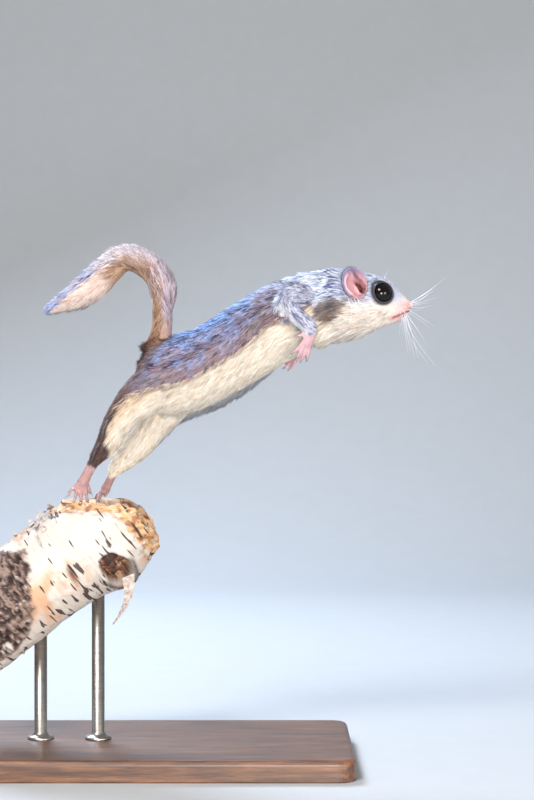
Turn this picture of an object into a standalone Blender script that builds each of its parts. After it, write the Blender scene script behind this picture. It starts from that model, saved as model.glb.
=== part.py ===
"""Southern flying squirrel leaping off a broken birch branch, life size, on a display stand.

Metres, +Z up. The animal faces +X and its right side faces -Y. The origin is the
middle of the stand's underside. Sizes below are in millimetres and become metres
where each mesh is made.
"""
import math
import random

import bmesh
import bpy
from mathutils import Vector

MM = 0.001
GAP = 0.3
FLAT_ENOUGH = math.radians(1.2)
SLIVERS = (2e-6, 6e-7, 1.5e-7, 0.0)

# Stand
BASE_LENGTH = 180.0
BASE_WIDTH = 110.0
BASE_HEIGHT = 10.0
BASE_ROUND = 2.5
ROD_RADIUS = 3.0
ROD_REAR_X = -56.0
ROD_FRONT_X = -29.0

# Branch: its axis rises to the right, and its broken end is nearly level on top
BRANCH_POINT = Vector((-33.1, 0.0, 103.4))
BRANCH_ANGLE = math.radians(38.0)
BRANCH_RADIUS = 23.0
BRANCH_SAWN_AT = -71.0
BRANCH_BREAK_TOP = 27.5
BRANCH_SWELLING = 5.0

# Trunk: each station is x, z, half depth, half width
BODY_ROLL = math.radians(14.0)
BODY_SIDES = 24
TRUNK = (
    (-9.6, 172.5, 5.0, 5.0),
    (-6.5, 174.6, 11.0, 10.5),
    (0.0, 177.5, 15.8, 14.8),
    (8.0, 180.6, 17.6, 16.8),
    (16.5, 183.8, 18.0, 17.2),
    (27.8, 188.8, 17.3, 17.0),
    (42.8, 197.8, 17.6, 17.0),
    (56.0, 205.5, 17.4, 16.8),
    (66.0, 210.5, 17.0, 16.0),
    (74.0, 213.4, 16.5, 14.6),
)

# Head, behind to front: x, top, bottom, half width
HEAD = (
    (84.0, 231.4, 198.8, 13.4),
    (88.0, 231.4, 199.1, 13.7),
    (92.0, 230.6, 199.8, 13.8),
    (96.0, 229.7, 200.7, 13.4),
    (100.0, 228.8, 201.8, 12.6),
    (104.0, 227.5, 203.0, 11.3),
    (107.0, 226.1, 203.9, 9.8),
    (110.0, 223.9, 204.9, 8.0),
    (112.6, 221.3, 206.3, 6.5),
    (114.8, 218.8, 208.2, 5.1),
    (116.6, 216.9, 210.2, 3.8),
    (117.9, 215.5, 212.0, 2.3),
)
HEAD_DIP = 0.10
NOSE_TIP = Vector((118.5, 0.0, 213.9))
NOSE_PAD = ((117.7, 0.0, 214.3), (1.5, 2.3, 1.6))
NOSTRIL = ((118.0, 0.9, 214.1, 0.35), (119.0, 1.3, 214.4, 0.6), (120.2, 1.9, 214.4, 0.7))
WHISKER_PAD = ((112.6, 2.7, 211.7), (5.0, 3.7, 3.3))
LOWER_LIP = ((110.3, 0.0, 207.1), (3.7, 4.4, 1.9))
EYE_PLACE = Vector((103.2, 8.5, 218.8))
EYE_FACING = Vector((0.40, 0.9, 0.14))
EYE_RADIUS = 5.1
BROW_RADII = (6.2, 6.1, 3.6)
LID_WIDTH = 4.95
LID_HEIGHT = 4.7
LID_OUT = 2.5
LID_THICKNESS = (0.6, 0.9)
EAR_PLACE = Vector((91.0, 14.6, 223.0))
EAR_LENGTH = 14.6
EAR_WIDTH = 12.4
EAR_THICKNESS = 0.9
EAR_HOLLOW = 2.6
EAR_SIDES = 20
EAR_FACING = Vector((0.42, 0.9, 0.10))
EAR_LEAN = Vector((-0.52, 0.0, 0.85))
MOUTH_CORNER = (108.9, 207.5)
MOUTH_FRONT = (119.5, 211.9)
MOUTH_DEPTH = 1.1
MOUTH_HALF_GAP = 0.28

# Legs: stations of x, y, z and radius from the body outwards
FORELEG = {
    -1: ((71.0, -7.0, 215.0, 6.4), (65.8, -13.0, 216.6, 6.0), (59.2, -17.6, 214.8, 4.8),
         (61.0, -19.6, 210.4, 4.5), (66.4, -19.6, 205.4, 4.0), (70.8, -19.0, 201.4, 3.2)),
    1: ((72.0, 10.0, 214.0, 7.0), (65.0, 15.0, 209.0, 6.2), (59.4, 17.6, 204.6, 4.6),
        (62.0, 17.0, 200.4, 4.0), (66.6, 15.4, 197.4, 3.5), (70.0, 13.6, 195.0, 2.9)),
}
HINDLEG = {
    -1: ((2.0, -7.0, 178.0, 12.0), (-7.0, -9.5, 171.4, 10.2), (-13.4, -10.8, 165.4, 8.2),
         (-18.8, -11.0, 158.2, 6.8), (-23.4, -10.4, 149.6, 5.4), (-27.6, -9.4, 143.8, 4.1),
         (-30.4, -8.6, 139.9, 3.1)),
    1: ((5.0, 7.0, 172.0, 12.4), (0.0, 9.5, 163.4, 9.8), (-5.2, 10.8, 155.2, 7.6),
        (-11.4, 10.8, 147.6, 7.0), (-17.2, 9.4, 141.2, 5.9), (-20.8, 8.2, 137.2, 4.6),
        (-23.0, 7.4, 134.0, 3.2)),
}
# Hands: wrist, the way the hand points, the way its fingers spread
HAND = {
    -1: (Vector((71.4, -19.0, 201.4)), Vector((-0.42, 0.08, -0.90)), Vector((-0.86, -0.34, 0.38))),
    1: (Vector((69.4, 13.4, 194.9)), Vector((-0.76, -0.12, -0.64)), Vector((-0.52, 0.45, 0.72))),
}
PALM_RADII = (2.5, 2.9, 2.7)
PALM_FLATNESS = 0.62
FINGERS = ((-1.9, 4.4), (-0.7, 5.6), (0.6, 5.4), (1.9, 4.2))
FINGER_RADIUS = 0.85
THUMB_RADIUS = 0.8
# Feet: heel, ball of the foot, the way its toes spread, then each toe's shift and tip
FOOT = {
    -1: (Vector((-30.9, -8.5, 139.4)), Vector((-35.8, -8.2, 130.2)), Vector((-0.93, -0.12, -0.10)),
         ((5.0, -41.9, -10.4, 125.4), (2.6, -39.2, -10.6, 122.4), (0.2, -36.2, -9.8, 122.0),
          (-2.2, -33.2, -8.6, 122.0), (-3.6, -32.2, -6.6, 126.4))),
    1: (Vector((-23.1, 7.3, 133.4)), Vector((-26.8, 9.6, 126.0)), Vector((-0.55, 0.80, 0.0)),
        ((3.2, -31.6, 15.8, 122.6), (1.7, -30.4, 12.8, 122.0), (0.2, -30.0, 10.0, 122.0),
         (-1.3, -29.5, 7.6, 122.2), (-3.3, -26.0, 4.0, 124.4))),
}
FOOT_RADII = (2.5, 2.4, 2.9)
FOOT_FLATNESS = 0.78
TOE_RADIUS = 0.95
CLAW_LENGTH = 1.9
CLAW_DROOP = Vector((-0.2, 0.0, -0.5))

# Gliding skin: where it is rooted in the body, then where its free edge runs
GLIDE_ROOT = {
    -1: ((66.0, -8.0, 218.0), (54.0, -10.0, 213.0), (40.0, -10.0, 203.0), (26.0, -10.0, 194.0),
         (12.0, -10.0, 187.0), (-1.0, -9.0, 181.0), (-11.0, -10.0, 169.0),
         (-19.0, -10.5, 158.5), (-24.2, -10.2, 149.6), (-28.2, -9.4, 143.6)),
    1: ((66.0, 8.0, 212.0), (54.0, 10.0, 206.0), (41.0, 10.0, 197.0), (27.0, 10.0, 188.0),
        (13.0, 10.0, 181.0), (4.0, 10.0, 173.0), (-3.0, 10.0, 160.0),
        (-9.5, 10.6, 150.0), (-15.5, 9.8, 142.6), (-19.4, 8.6, 138.2)),
}
GLIDE_EDGE = {
    -1: ((62.5, -20.5, 208.0), (52.2, -23.5, 205.4), (39.7, -24.6, 194.4), (26.5, -25.0, 186.6),
         (13.3, -24.6, 179.3), (-0.6, -22.6, 175.8), (-11.6, -19.4, 171.6),
         (-20.4, -16.8, 162.6), (-24.8, -14.6, 152.6), (-28.4, -12.0, 144.4)),
    1: ((62.0, 20.5, 194.0), (52.4, 23.0, 184.6), (40.8, 24.2, 175.4), (27.6, 24.6, 167.4),
        (14.8, 24.2, 163.0), (5.4, 22.0, 158.6), (-3.4, 18.8, 149.4),
        (-10.8, 16.4, 142.6), (-16.6, 14.0, 138.6), (-20.6, 11.2, 136.4)),
}
GLIDE_BOW = 2.6
GLIDE_ROOT_HALF = 2.2
GLIDE_EDGE_HALF = 0.8

# Tail: middle line as x, y, z, then the half width to the tips of the fringe
TAIL_LINE = (
    (-8.6, 0.0, 185.6, 5.0),
    (-5.4, 0.0, 194.6, 7.0),
    (-0.2, 0.0, 204.6, 9.4),
    (1.6, 0.0, 214.0, 10.6),
    (0.4, -0.4, 223.2, 11.2),
    (-4.8, -0.8, 230.8, 11.6),
    (-13.0, -1.0, 235.0, 11.8),
    (-20.8, -1.0, 232.2, 11.6),
    (-27.6, -1.0, 226.6, 10.8),
    (-34.6, -1.0, 221.0, 9.2),
    (-43.0, -1.0, 216.0, 7.6),
    (-51.0, -1.0, 211.8, 5.2),
    (-57.6, -1.0, 208.8, 1.2),
)
# How far the near edge is turned up, in degrees, at the same places
TAIL_TURN = (0, -8, -16, -20, -16, -4, 8, 30, 48, 40, 16, 6, 0)
TAIL_CORE_SHARE = 0.48
TAIL_CORE_DEPTH = 3.6
TAIL_COAT_DEPTH = 6.4
TAIL_COAT_THINS = 0.38
TAIL_END_ANGLES = (0, 90, 180, 270)
EDGE_LOCK_SPACING = 5.0
FACE_LOCK_SPACING = 10.5
FACE_LOCK_ROWS = ((65, 0.0), (115, 0.5), (245, 0.25), (295, 0.75))
LOCK_REACH = 7.0
LOCK_HALF_BREADTH = 2.4
LOCK_FULL_WIDTH = 9.5
LOCK_HALF_THICKNESS = 0.85
TAIL_SEED = 1
TAIL_STEPS = 160
TAIL_STEP_LENGTH = 0.75
TAIL_END_BARE = 14
LOCK_CLEAR = 6
TAIL_PARTS = (("tail_base", 0.0, 0.36), ("tail_middle", 0.36, 0.68), ("tail_tip", 0.68, 1.0))


def start_empty():
    for item in list(bpy.data.objects):
        bpy.data.objects.remove(item, do_unlink=True)


def finish_colour(name, colour, roughness=0.8):
    material = bpy.data.materials.new(name)
    material.use_nodes = True
    shader = material.node_tree.nodes["Principled BSDF"]
    shader.inputs["Base Color"].default_value = (*colour, 1.0)
    shader.inputs["Roughness"].default_value = roughness
    shader.inputs["Metallic"].default_value = 0.0
    return material


def mesh_object(name, points, faces):
    mesh = bpy.data.meshes.new(name)
    mesh.from_pydata([Vector(p) * MM for p in points], [], faces)
    shape = bmesh.new()
    shape.from_mesh(mesh)
    bmesh.ops.recalc_face_normals(shape, faces=shape.faces)
    bmesh.ops.triangulate(shape, faces=shape.faces)
    shape.to_mesh(mesh)
    shape.free()
    item = bpy.data.objects.new(name, mesh)
    bpy.context.collection.objects.link(item)
    return item


def loft(name, rings, start_pole=None, end_pole=None):
    """Joins rings of points into one closed skin, with a point at each end or a flat cap."""
    sides = len(rings[0])
    points = [p for ring in rings for p in ring]
    faces = []
    for row in range(len(rings) - 1):
        for k in range(sides):
            a = row * sides + k
            b = row * sides + (k + 1) % sides
            faces.append((a, b, b + sides, a + sides))
    last = (len(rings) - 1) * sides
    for pole, first in ((start_pole, 0), (end_pole, last)):
        ring = rings[0] if first == 0 else rings[-1]
        if pole is None:
            pole = sum((Vector(p) for p in ring), Vector()) / sides
        points.append(pole)
        for k in range(sides):
            faces.append((first + k, first + (k + 1) % sides, len(points) - 1))
    return mesh_object(name, points, faces)


def curve_through(points, count):
    """Evenly numbered samples of a smooth curve through points of any dimension."""
    result = []
    spans = len(points) - 1
    for i in range(count):
        place = i * spans / (count - 1)
        k = min(int(place), spans - 1)
        t = place - k
        p0 = points[max(k - 1, 0)]
        p1 = points[k]
        p2 = points[k + 1]
        p3 = points[min(k + 2, spans)]
        result.append(tuple(
            0.5 * (2 * b + (c - a) * t + (2 * a - 5 * b + 4 * c - d) * t * t
                   + (3 * b - a - 3 * c + d) * t ** 3)
            for a, b, c, d in zip(p0, p1, p2, p3)))
    return result


def directions(path):
    """Unit tangents along a list of points."""
    result = []
    for k in range(len(path)):
        step = path[min(k + 1, len(path) - 1)] - path[max(k - 1, 0)]
        result.append(step.normalized())
    return result


def limb(name, stations, count, sides=10, flat=1.0, side_hint=(0, 1, 0), round_end=True):
    """A tapering round limb through stations of x, y, z and radius."""
    samples = curve_through(stations, count)
    path = [Vector(s[:3]) for s in samples]
    along = directions(path)
    hint = Vector(side_hint)
    rings = []
    for k, place in enumerate(path):
        across = (hint - along[k] * hint.dot(along[k])).normalized()
        up = along[k].cross(across)
        radius = samples[k][3]
        rings.append([place + across * radius * math.cos(a) + up * radius * flat * math.sin(a)
                      for a in (2 * math.pi * j / sides for j in range(sides))])
    end = path[-1] + along[-1] * samples[-1][3] * (0.6 if round_end else 0.0)
    start = path[0] - along[0] * samples[0][3] * 0.5
    return loft(name, rings, start, end)


def ball(name, centre, radii, rings=8, sides=12, axes=None):
    """An egg of three radii, along the world's axes or three given ones."""
    axes = axes or (Vector((1, 0, 0)), Vector((0, 1, 0)), Vector((0, 0, 1)))
    shape = bmesh.new()
    bmesh.ops.create_uvsphere(shape, u_segments=sides, v_segments=rings, radius=1.0)
    for vert in shape.verts:
        reach = sum((axes[k] * vert.co[k] * radii[k] for k in range(3)), Vector())
        vert.co = (Vector(centre) + reach) * MM
    mesh = bpy.data.meshes.new(name)
    shape.to_mesh(mesh)
    shape.free()
    item = bpy.data.objects.new(name, mesh)
    bpy.context.collection.objects.link(item)
    return item


def grown(item, distance=GAP):
    """A copy of a finished piece, larger by a gap all round, for cutting its neighbours."""
    mesh = item.data.copy()
    shape = bmesh.new()
    shape.from_mesh(mesh)
    shape.normal_update()
    moves = []
    for vert in shape.verts:
        moves.append(vert.normal * distance * MM * min(vert.calc_shell_factor(), 1.6))
    for vert, move in zip(shape.verts, moves):
        vert.co += move
    shape.to_mesh(mesh)
    shape.free()
    copy = bpy.data.objects.new(item.name + "_cutter", mesh)
    bpy.context.collection.objects.link(copy)
    return copy


def tidied(mesh, distance):
    """The mesh as triangles, with its slivers closed up and its flat neighbours joined."""
    shape = bmesh.new()
    shape.from_mesh(mesh)
    if distance > 0:
        bmesh.ops.remove_doubles(shape, verts=shape.verts, dist=distance / 2)
        bmesh.ops.dissolve_degenerate(shape, edges=shape.edges, dist=distance)
        bmesh.ops.dissolve_limit(shape, angle_limit=FLAT_ENOUGH, verts=shape.verts, edges=shape.edges)
    bmesh.ops.triangulate(shape, faces=shape.faces)
    return shape


def largest_surface(item):
    """Keeps only the largest closed surface of a mesh."""
    for distance in SLIVERS:
        shape = tidied(item.data, distance)
        if all(len(edge.link_faces) == 2 for edge in shape.edges):
            break
    left = set(shape.faces)
    islands = []
    while left:
        island = set()
        stack = [left.pop()]
        while stack:
            face = stack.pop()
            island.add(face)
            for edge in face.edges:
                for other in edge.link_faces:
                    if other in left:
                        left.remove(other)
                        stack.append(other)
        islands.append(island)
    islands.sort(key=lambda faces: -sum(f.calc_area() for f in faces))
    loose = [f for island in islands[1:] for f in island]
    bmesh.ops.delete(shape, geom=loose, context="FACES")
    bare = [v for v in shape.verts if not v.link_faces]
    bmesh.ops.delete(shape, geom=bare, context="VERTS")
    shape.to_mesh(item.data)
    shape.free()


def combine(item, others, operation, solver="MANIFOLD"):
    """One Boolean of an object with a collection of closed meshes, applied."""
    group = bpy.data.collections.new(item.name + "_group")
    bpy.context.scene.collection.children.link(group)
    for other in others:
        for owner in list(other.users_collection):
            owner.objects.unlink(other)
        group.objects.link(other)
    step = item.modifiers.new("join", "BOOLEAN")
    step.operation = operation
    step.operand_type = "COLLECTION"
    step.collection = group
    step.solver = solver
    graph = bpy.context.evaluated_depsgraph_get()
    mesh = bpy.data.meshes.new_from_object(item.evaluated_get(graph))
    item.modifiers.clear()
    item.data = mesh
    for other in list(group.objects):
        bpy.data.objects.remove(other, do_unlink=True)
    bpy.data.collections.remove(group)
    largest_surface(item)
    return item


def fuse(name, pieces):
    first = pieces[0]
    if len(pieces) > 1:
        combine(first, pieces[1:], "UNION")
    first.name = name
    first.data.name = name
    return first


def carve(item, neighbours):
    """Cuts a piece clear of its finished neighbours."""
    return combine(item, [grown(n) for n in neighbours], "DIFFERENCE")


def dress(item, material):
    item.data.materials.clear()
    item.data.materials.append(material)
    item.data.shade_smooth()
    item.data.set_sharp_from_angle(angle=math.radians(50))
    return item


def bent(value, power):
    return math.copysign(abs(value) ** power, value)


def body_frame(along):
    """Up and side directions of a trunk section, rolled belly towards the viewer."""
    lift = Vector((-along.z, 0.0, along.x))
    side = Vector((0.0, 1.0, 0.0))
    up = lift * math.cos(BODY_ROLL) + side * math.sin(BODY_ROLL)
    across = side * math.cos(BODY_ROLL) - lift * math.sin(BODY_ROLL)
    return up, across


def trunk_section(share):
    """Centre, up, side, half depth and half width of the trunk, 0 at the rump to 1."""
    near = max(share - 0.01, 0.0)
    far = min(share + 0.01, 1.0)
    spans = len(TRUNK) - 1

    def sample(at):
        scaled = at * spans
        k = min(int(scaled), spans - 1)
        window = (TRUNK[max(k - 1, 0)], TRUNK[k], TRUNK[k + 1], TRUNK[min(k + 2, spans)])
        t = scaled - k
        return [0.5 * (2 * b + (c - a) * t + (2 * a - 5 * b + 4 * c - d) * t * t
                       + (3 * b - a - 3 * c + d) * t ** 3) for a, b, c, d in zip(*window)]

    x, z, depth, width = sample(share)
    a = sample(near)
    b = sample(far)
    along = Vector((b[0] - a[0], 0.0, b[1] - a[1])).normalized()
    up, across = body_frame(along)
    return Vector((x, 0.0, z)), along, up, across, depth, width


def trunk_ring(share):
    centre, along, up, across, depth, width = trunk_section(share)
    return [centre + up * depth * math.cos(a) + across * width * bent(math.sin(a), 0.9)
            for a in (2 * math.pi * k / BODY_SIDES for k in range(BODY_SIDES))]


def head_ring(x, top, bottom, width):
    middle = (top + bottom) / 2
    half = (top - bottom) / 2
    ring = []
    for k in range(BODY_SIDES):
        a = 2 * math.pi * k / BODY_SIDES
        dip = HEAD_DIP * half * (math.cos(a) * math.sin(a)) ** 2
        ring.append(Vector((x, width * bent(math.sin(a), 0.92), middle + half * math.cos(a) - dip)))
    return ring


def head_width_at(x, z):
    """Half width of the head's loft at a place seen from the side."""
    best = min(curve_through(HEAD, 60), key=lambda s: abs(s[0] - x))
    middle = (best[1] + best[2]) / 2
    half = (best[1] - best[2]) / 2
    level = max(-1.0, min(1.0, (z - middle) / half))
    return best[3] * (1.0 - level * level) ** 0.46


def make_torso():
    rings = [trunk_ring(k / 18) for k in range(19)]
    centre, along = trunk_section(0.0)[:2]
    return loft("torso", rings, centre - along * 2.0)


def make_head():
    rings = [head_ring(*s) for s in curve_through(HEAD, 21)]
    pieces = [loft("head", rings, None, NOSE_TIP)]
    for side in (-1, 1):
        x, y, z = WHISKER_PAD[0]
        outward, across, up = eye_frame(side)
        pieces.append(ball("brow", eye_centre(side), BROW_RADII, 8, 16, (across, up, outward)))
        pieces.append(ball("whisker_pad", (x, side * y, z), WHISKER_PAD[1], 8, 12))
        pieces.append(lid(side))
    pieces.append(ball("nose_pad", *NOSE_PAD, 6, 10))
    pieces.append(ball("lower_lip", *LOWER_LIP, 8, 12))
    head = fuse("head", pieces)
    tools = [mouth_line()]
    for side in (-1, 1):
        tools.append(ball("socket", eye_centre(side), (EYE_RADIUS + GAP,) * 3, 10, 16))
        tools.append(ear_hollow(side))
        tools.append(limb("nostril", [(x, side * y, z, r) for x, y, z, r in NOSTRIL], 3, 6))
    return combine(head, tools, "DIFFERENCE")


def eye_centre(side):
    return Vector((EYE_PLACE.x, side * EYE_PLACE.y, EYE_PLACE.z))


def eye_frame(side):
    """Directions out of the eye, across it and up it."""
    outward = Vector((EYE_FACING.x, side * EYE_FACING.y, EYE_FACING.z)).normalized()
    across = Vector((0, 0, 1)).cross(outward).normalized()
    return outward, across, outward.cross(across)


def lid(side):
    """The rim of skin round an eye: a ring a little proud of the head."""
    centre = eye_centre(side)
    outward, across, up = eye_frame(side)
    turns = 18
    sides = 5
    points = []
    faces = []
    for k in range(turns):
        a = 2 * math.pi * k / turns
        reach = across * math.cos(a) * LID_WIDTH + up * math.sin(a) * LID_HEIGHT
        spoke = reach.normalized()
        middle = centre + outward * LID_OUT + reach
        for j in range(sides):
            b = 2 * math.pi * j / sides
            points.append(middle + spoke * LID_THICKNESS[0] * math.cos(b)
                          + outward * LID_THICKNESS[1] * math.sin(b))
    for k in range(turns):
        for j in range(sides):
            a = k * sides + j
            b = k * sides + (j + 1) % sides
            c = ((k + 1) % turns) * sides + (j + 1) % sides
            d = ((k + 1) % turns) * sides + j
            faces.append((a, b, c, d))
    return mesh_object("lid", points, faces)


def mouth_line():
    """A thin curved blade that parts the lips about 1 mm deep, round the muzzle."""
    depth = MOUTH_DEPTH
    count = 9
    outline = []
    for side in (-1, 1):
        for k in range(count):
            t = k / (count - 1) if side < 0 else 1 - k / (count - 1)
            x = MOUTH_CORNER[0] + (NOSE_TIP.x - 1.3 - MOUTH_CORNER[0]) * t
            z = MOUTH_CORNER[1] + (MOUTH_FRONT[1] - MOUTH_CORNER[1]) * (x - MOUTH_CORNER[0]) / (
                MOUTH_FRONT[0] - MOUTH_CORNER[0])
            width = max(head_width_at(x, z), 3.2 * (1 - t) + 2.2)
            inner = Vector((x - depth * 0.8 * t, side * max(width - depth, 0.35), z))
            outer = Vector((x + 4.0 * t, side * (width + 3.0), z))
            outline.append((inner, outer))
    points = []
    faces = []
    for inner, outer in outline:
        for place in (inner, outer):
            points.append(place + Vector((0, 0, MOUTH_HALF_GAP)))
            points.append(place - Vector((0, 0, MOUTH_HALF_GAP)))
    for k in range(len(outline) - 1):
        a = 4 * k
        b = 4 * (k + 1)
        faces.append((a, a + 2, b + 2, b))
        faces.append((a + 1, b + 1, b + 3, a + 3))
        faces.append((a, b, b + 1, a + 1))
        faces.append((a + 2, a + 3, b + 3, b + 2))
    end = 4 * (len(outline) - 1)
    faces.append((0, 1, 3, 2))
    faces.append((end, end + 2, end + 3, end + 1))
    return mesh_object("mouth_line", points, faces)


def make_neck():
    back = trunk_ring(1.0)
    centre, along = trunk_section(1.0)[:2]
    back = [p + along * GAP for p in back]
    front = [p - Vector((GAP, 0, 0)) for p in head_ring(*HEAD[0])]
    rings = []
    for k in range(5):
        t = k / 4
        rings.append([a * (1 - t) + b * t for a, b in zip(back, front)])
    return loft("neck", rings)


def make_eye(side):
    name = "eye_right" if side < 0 else "eye_left"
    return ball(name, eye_centre(side), (EYE_RADIUS,) * 3, 10, 16)


def ear_frame(side):
    centre = Vector((EAR_PLACE.x, side * EAR_PLACE.y, EAR_PLACE.z))
    facing = Vector((EAR_FACING.x, side * EAR_FACING.y, EAR_FACING.z)).normalized()
    tall = (EAR_LEAN - facing * EAR_LEAN.dot(facing)).normalized()
    wide = tall.cross(facing).normalized()
    if wide.x < 0:
        wide = -wide
    return centre, facing, tall, wide


def ear_surface(side, level, angle, backward, widen=1.0):
    """A point of the ear's cup: level 0 is its middle and 1 its rim."""
    centre, facing, tall, wide = ear_frame(side)
    point_up = 1.0 + 0.06 * max(math.cos(angle), 0.0)
    reach = (tall * math.cos(angle) * point_up * EAR_LENGTH / 2
             + wide * math.sin(angle) * EAR_WIDTH / 2)
    hollow = EAR_HOLLOW * (1 - level ** 2) + 0.8 * level ** 2 * max(-math.sin(angle), 0.0)
    return centre + reach * level * widen - facing * (hollow + backward)


def ear_hollow(side):
    """The shallow pit in the head that the cup's back lies in, a gap away."""
    facing = ear_frame(side)[1]
    sides = EAR_SIDES
    clear = 1.02 + GAP / (EAR_WIDTH / 2)
    rings = []
    for level in (0.35, 0.7, 1.0):
        rings.append([ear_surface(side, level, 2 * math.pi * k / sides, EAR_THICKNESS + GAP, clear)
                      for k in range(sides)])
    rings.append([p + facing * 9.0 for p in rings[-1]])
    floor = ear_surface(side, 0.0, 0.0, EAR_THICKNESS + GAP)
    return loft("ear_hollow", rings, floor)


def make_ear(side):
    """A thin cup, hollow side out and forward, with the fold in front of its opening."""
    name = "ear_right" if side < 0 else "ear_left"
    centre, facing, tall, wide = ear_frame(side)
    sides = EAR_SIDES
    around = [2 * math.pi * k / sides for k in range(sides)]
    rings = []
    for level in (0.35, 0.7, 0.94):
        rings.append([ear_surface(side, level, a, 0.0) for a in around])
    rings.append([ear_surface(side, 1.0, a, EAR_THICKNESS * 0.35) for a in around])
    for level in (0.94, 0.7, 0.35):
        rings.append([ear_surface(side, level, a, EAR_THICKNESS, 1.02) for a in around])
    cup = loft(name, rings, ear_surface(side, 0.0, 0.0, 0.0), ear_surface(side, 0.0, 0.0, EAR_THICKNESS))
    fold = limb("fold", (tuple(centre + wide * 3.4 - tall * 4.4 - facing * 1.4) + (0.9,),
                         tuple(centre + wide * 1.6 - tall * 1.8 - facing * 1.6) + (1.1,),
                         tuple(centre + wide * 1.4 + tall * 1.6 - facing * 2.6) + (0.7,)), 5, 6)
    return fuse(name, [cup, fold])


def make_foreleg(side):
    name = "foreleg_right" if side < 0 else "foreleg_left"
    return limb(name, FORELEG[side], 13, 11)


def claw(name, tip, heading, droop):
    end = tip + heading * CLAW_LENGTH + droop * 0.7
    middle = tip + heading * CLAW_LENGTH * 0.55 + droop * 0.15
    return limb(name, (tuple(tip - heading * 0.6) + (0.42,), tuple(middle) + (0.32,),
                       tuple(end) + (0.12,)), 3, 5, 1.0, (0.3, 0.9, 0.2))


def digit(name, root, knuckle, tip, radius, droop):
    """A finger or toe with its claw, bent once at the knuckle."""
    line = (tuple(root) + (radius * 1.15,), tuple(knuckle) + (radius,), tuple(tip) + (radius * 0.95,))
    heading = (tip - knuckle).normalized()
    return [limb(name, line, 5, 6, 1.0, (0.2, 0.9, 0.3)), claw(name + "_claw", tip, heading, droop)]


def make_hand(side):
    """A small hand hanging back from the wrist: a pad, four fingers and a stub of a thumb."""
    name = "hand_right" if side < 0 else "hand_left"
    wrist, heading, spread = HAND[side]
    heading = heading.normalized()
    spread = spread.normalized()
    palm_side = heading.cross(spread).normalized()
    if palm_side.x > 0:
        palm_side = -palm_side
    palm = [tuple(wrist + heading * along) + (radius,)
            for along, radius in zip((0.2, 3.6, 7.4), PALM_RADII)]
    pieces = [limb(name, palm, 6, 10, PALM_FLATNESS, tuple(spread))]
    droop = palm_side * 0.9
    for k, (out, length) in enumerate(FINGERS):
        root = wrist + heading * 6.6 + spread * out
        knuckle = root + heading * (2.0 + length * 0.35) + spread * out * 0.45 - palm_side * 0.3
        tip = knuckle + heading * length * 0.72 + spread * out * 0.5 + palm_side * 0.9
        pieces += digit("finger_%d" % k, root, knuckle, tip, FINGER_RADIUS, droop)
    thumb = wrist + heading * 3.6 + spread * 2.2
    pieces += digit("thumb", thumb, thumb + spread * 2.0 + heading * 0.7,
                    thumb + spread * 3.2 + heading * 1.6, THUMB_RADIUS, droop)
    return fuse(name, pieces)


def make_hindleg(side):
    name = "hindleg_right" if side < 0 else "hindleg_left"
    return limb(name, HINDLEG[side], 14, 12)


def make_foot(side):
    """A long narrow foot with five toes that takes hold of the broken wood."""
    name = "foot_right" if side < 0 else "foot_left"
    heel, ball_of_foot, spread, tips = FOOT[side]
    spread = spread.normalized()
    middle = (heel + ball_of_foot) / 2
    sole = [tuple(place) + (radius,)
            for place, radius in zip((heel, middle, ball_of_foot), FOOT_RADII)]
    pieces = [limb(name, sole, 6, 10, FOOT_FLATNESS, tuple(spread))]
    for k, (out, x, y, z) in enumerate(tips):
        root = ball_of_foot + spread * out * 0.42
        tip = Vector((x, y, z))
        knuckle = root * 0.45 + tip * 0.55 + Vector((0.0, 0.0, 0.8))
        pieces += digit("toe_%d" % k, root, knuckle, tip, TOE_RADIUS, CLAW_DROOP)
    return fuse(name, pieces)


def make_patagium(side):
    """The furred gliding skin: a thick soft fold from the flank to a thinner free edge."""
    name = "patagium_right" if side < 0 else "patagium_left"
    count = 18
    roots = [Vector(p) for p in curve_through(GLIDE_ROOT[side], count)]
    edges = [Vector(p) for p in curve_through(GLIDE_EDGE[side], count)]
    along = directions(edges)
    steps = 5
    rings = []
    for k in range(count):
        span = edges[k] - roots[k]
        flat = span.normalized()
        normal = along[k].cross(flat).normalized()
        if normal.z < 0:
            normal = -normal
        upper = []
        lower = []
        for j in range(steps):
            t = j / (steps - 1)
            bow = GLIDE_BOW * math.sin(math.pi * t) * (1 if k < count - 5 else 0.4)
            half = GLIDE_ROOT_HALF * (1 - t) + GLIDE_EDGE_HALF * t
            middle = roots[k] + span * t + normal * bow
            upper.append(middle + normal * half)
            lower.append(middle - normal * half)
        tip = edges[k] + flat * 0.9
        rings.append(upper + [tip] + lower[::-1])
    return loft(name, rings)


def tail_samples(count):
    line = curve_through(TAIL_LINE, count)
    turns = curve_through([(float(t),) for t in TAIL_TURN], count)
    path = [Vector(s[:3]) for s in line]
    along = directions(path)
    result = []
    for k in range(count):
        turn = math.radians(turns[k][0])
        normal = Vector((-along[k].z, 0.0, along[k].x))
        side = Vector((0.0, -1.0, 0.0))
        across = (side * math.cos(turn) - normal * math.sin(turn)).normalized()
        across = (across - along[k] * across.dot(along[k])).normalized()
        back = along[k].cross(across).normalized()
        result.append((path[k], along[k], across, back, line[k][3]))
    return result


def tail_core(name, first, last):
    """One length of the flat tail's solid middle."""
    samples = tail_samples(TAIL_STEPS + 1)
    start = round(first * TAIL_STEPS)
    end = round(last * TAIL_STEPS)
    rings = []
    picked = list(range(start, end, 5)) + [end]
    for k in picked:
        place, along, across, back, width = samples[k]
        if k == start and first > 0:
            place = place + along * GAP / 2
        if k == end and last < 1:
            place = place - along * GAP / 2
        wide = width * TAIL_CORE_SHARE
        thick = min(TAIL_CORE_DEPTH, width * 0.45)
        rings.append([place + across * wide * math.cos(a) + back * thick * math.sin(a)
                      for a in (2 * math.pi * j / 12 for j in range(12))])
    return loft(name, rings)


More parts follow.
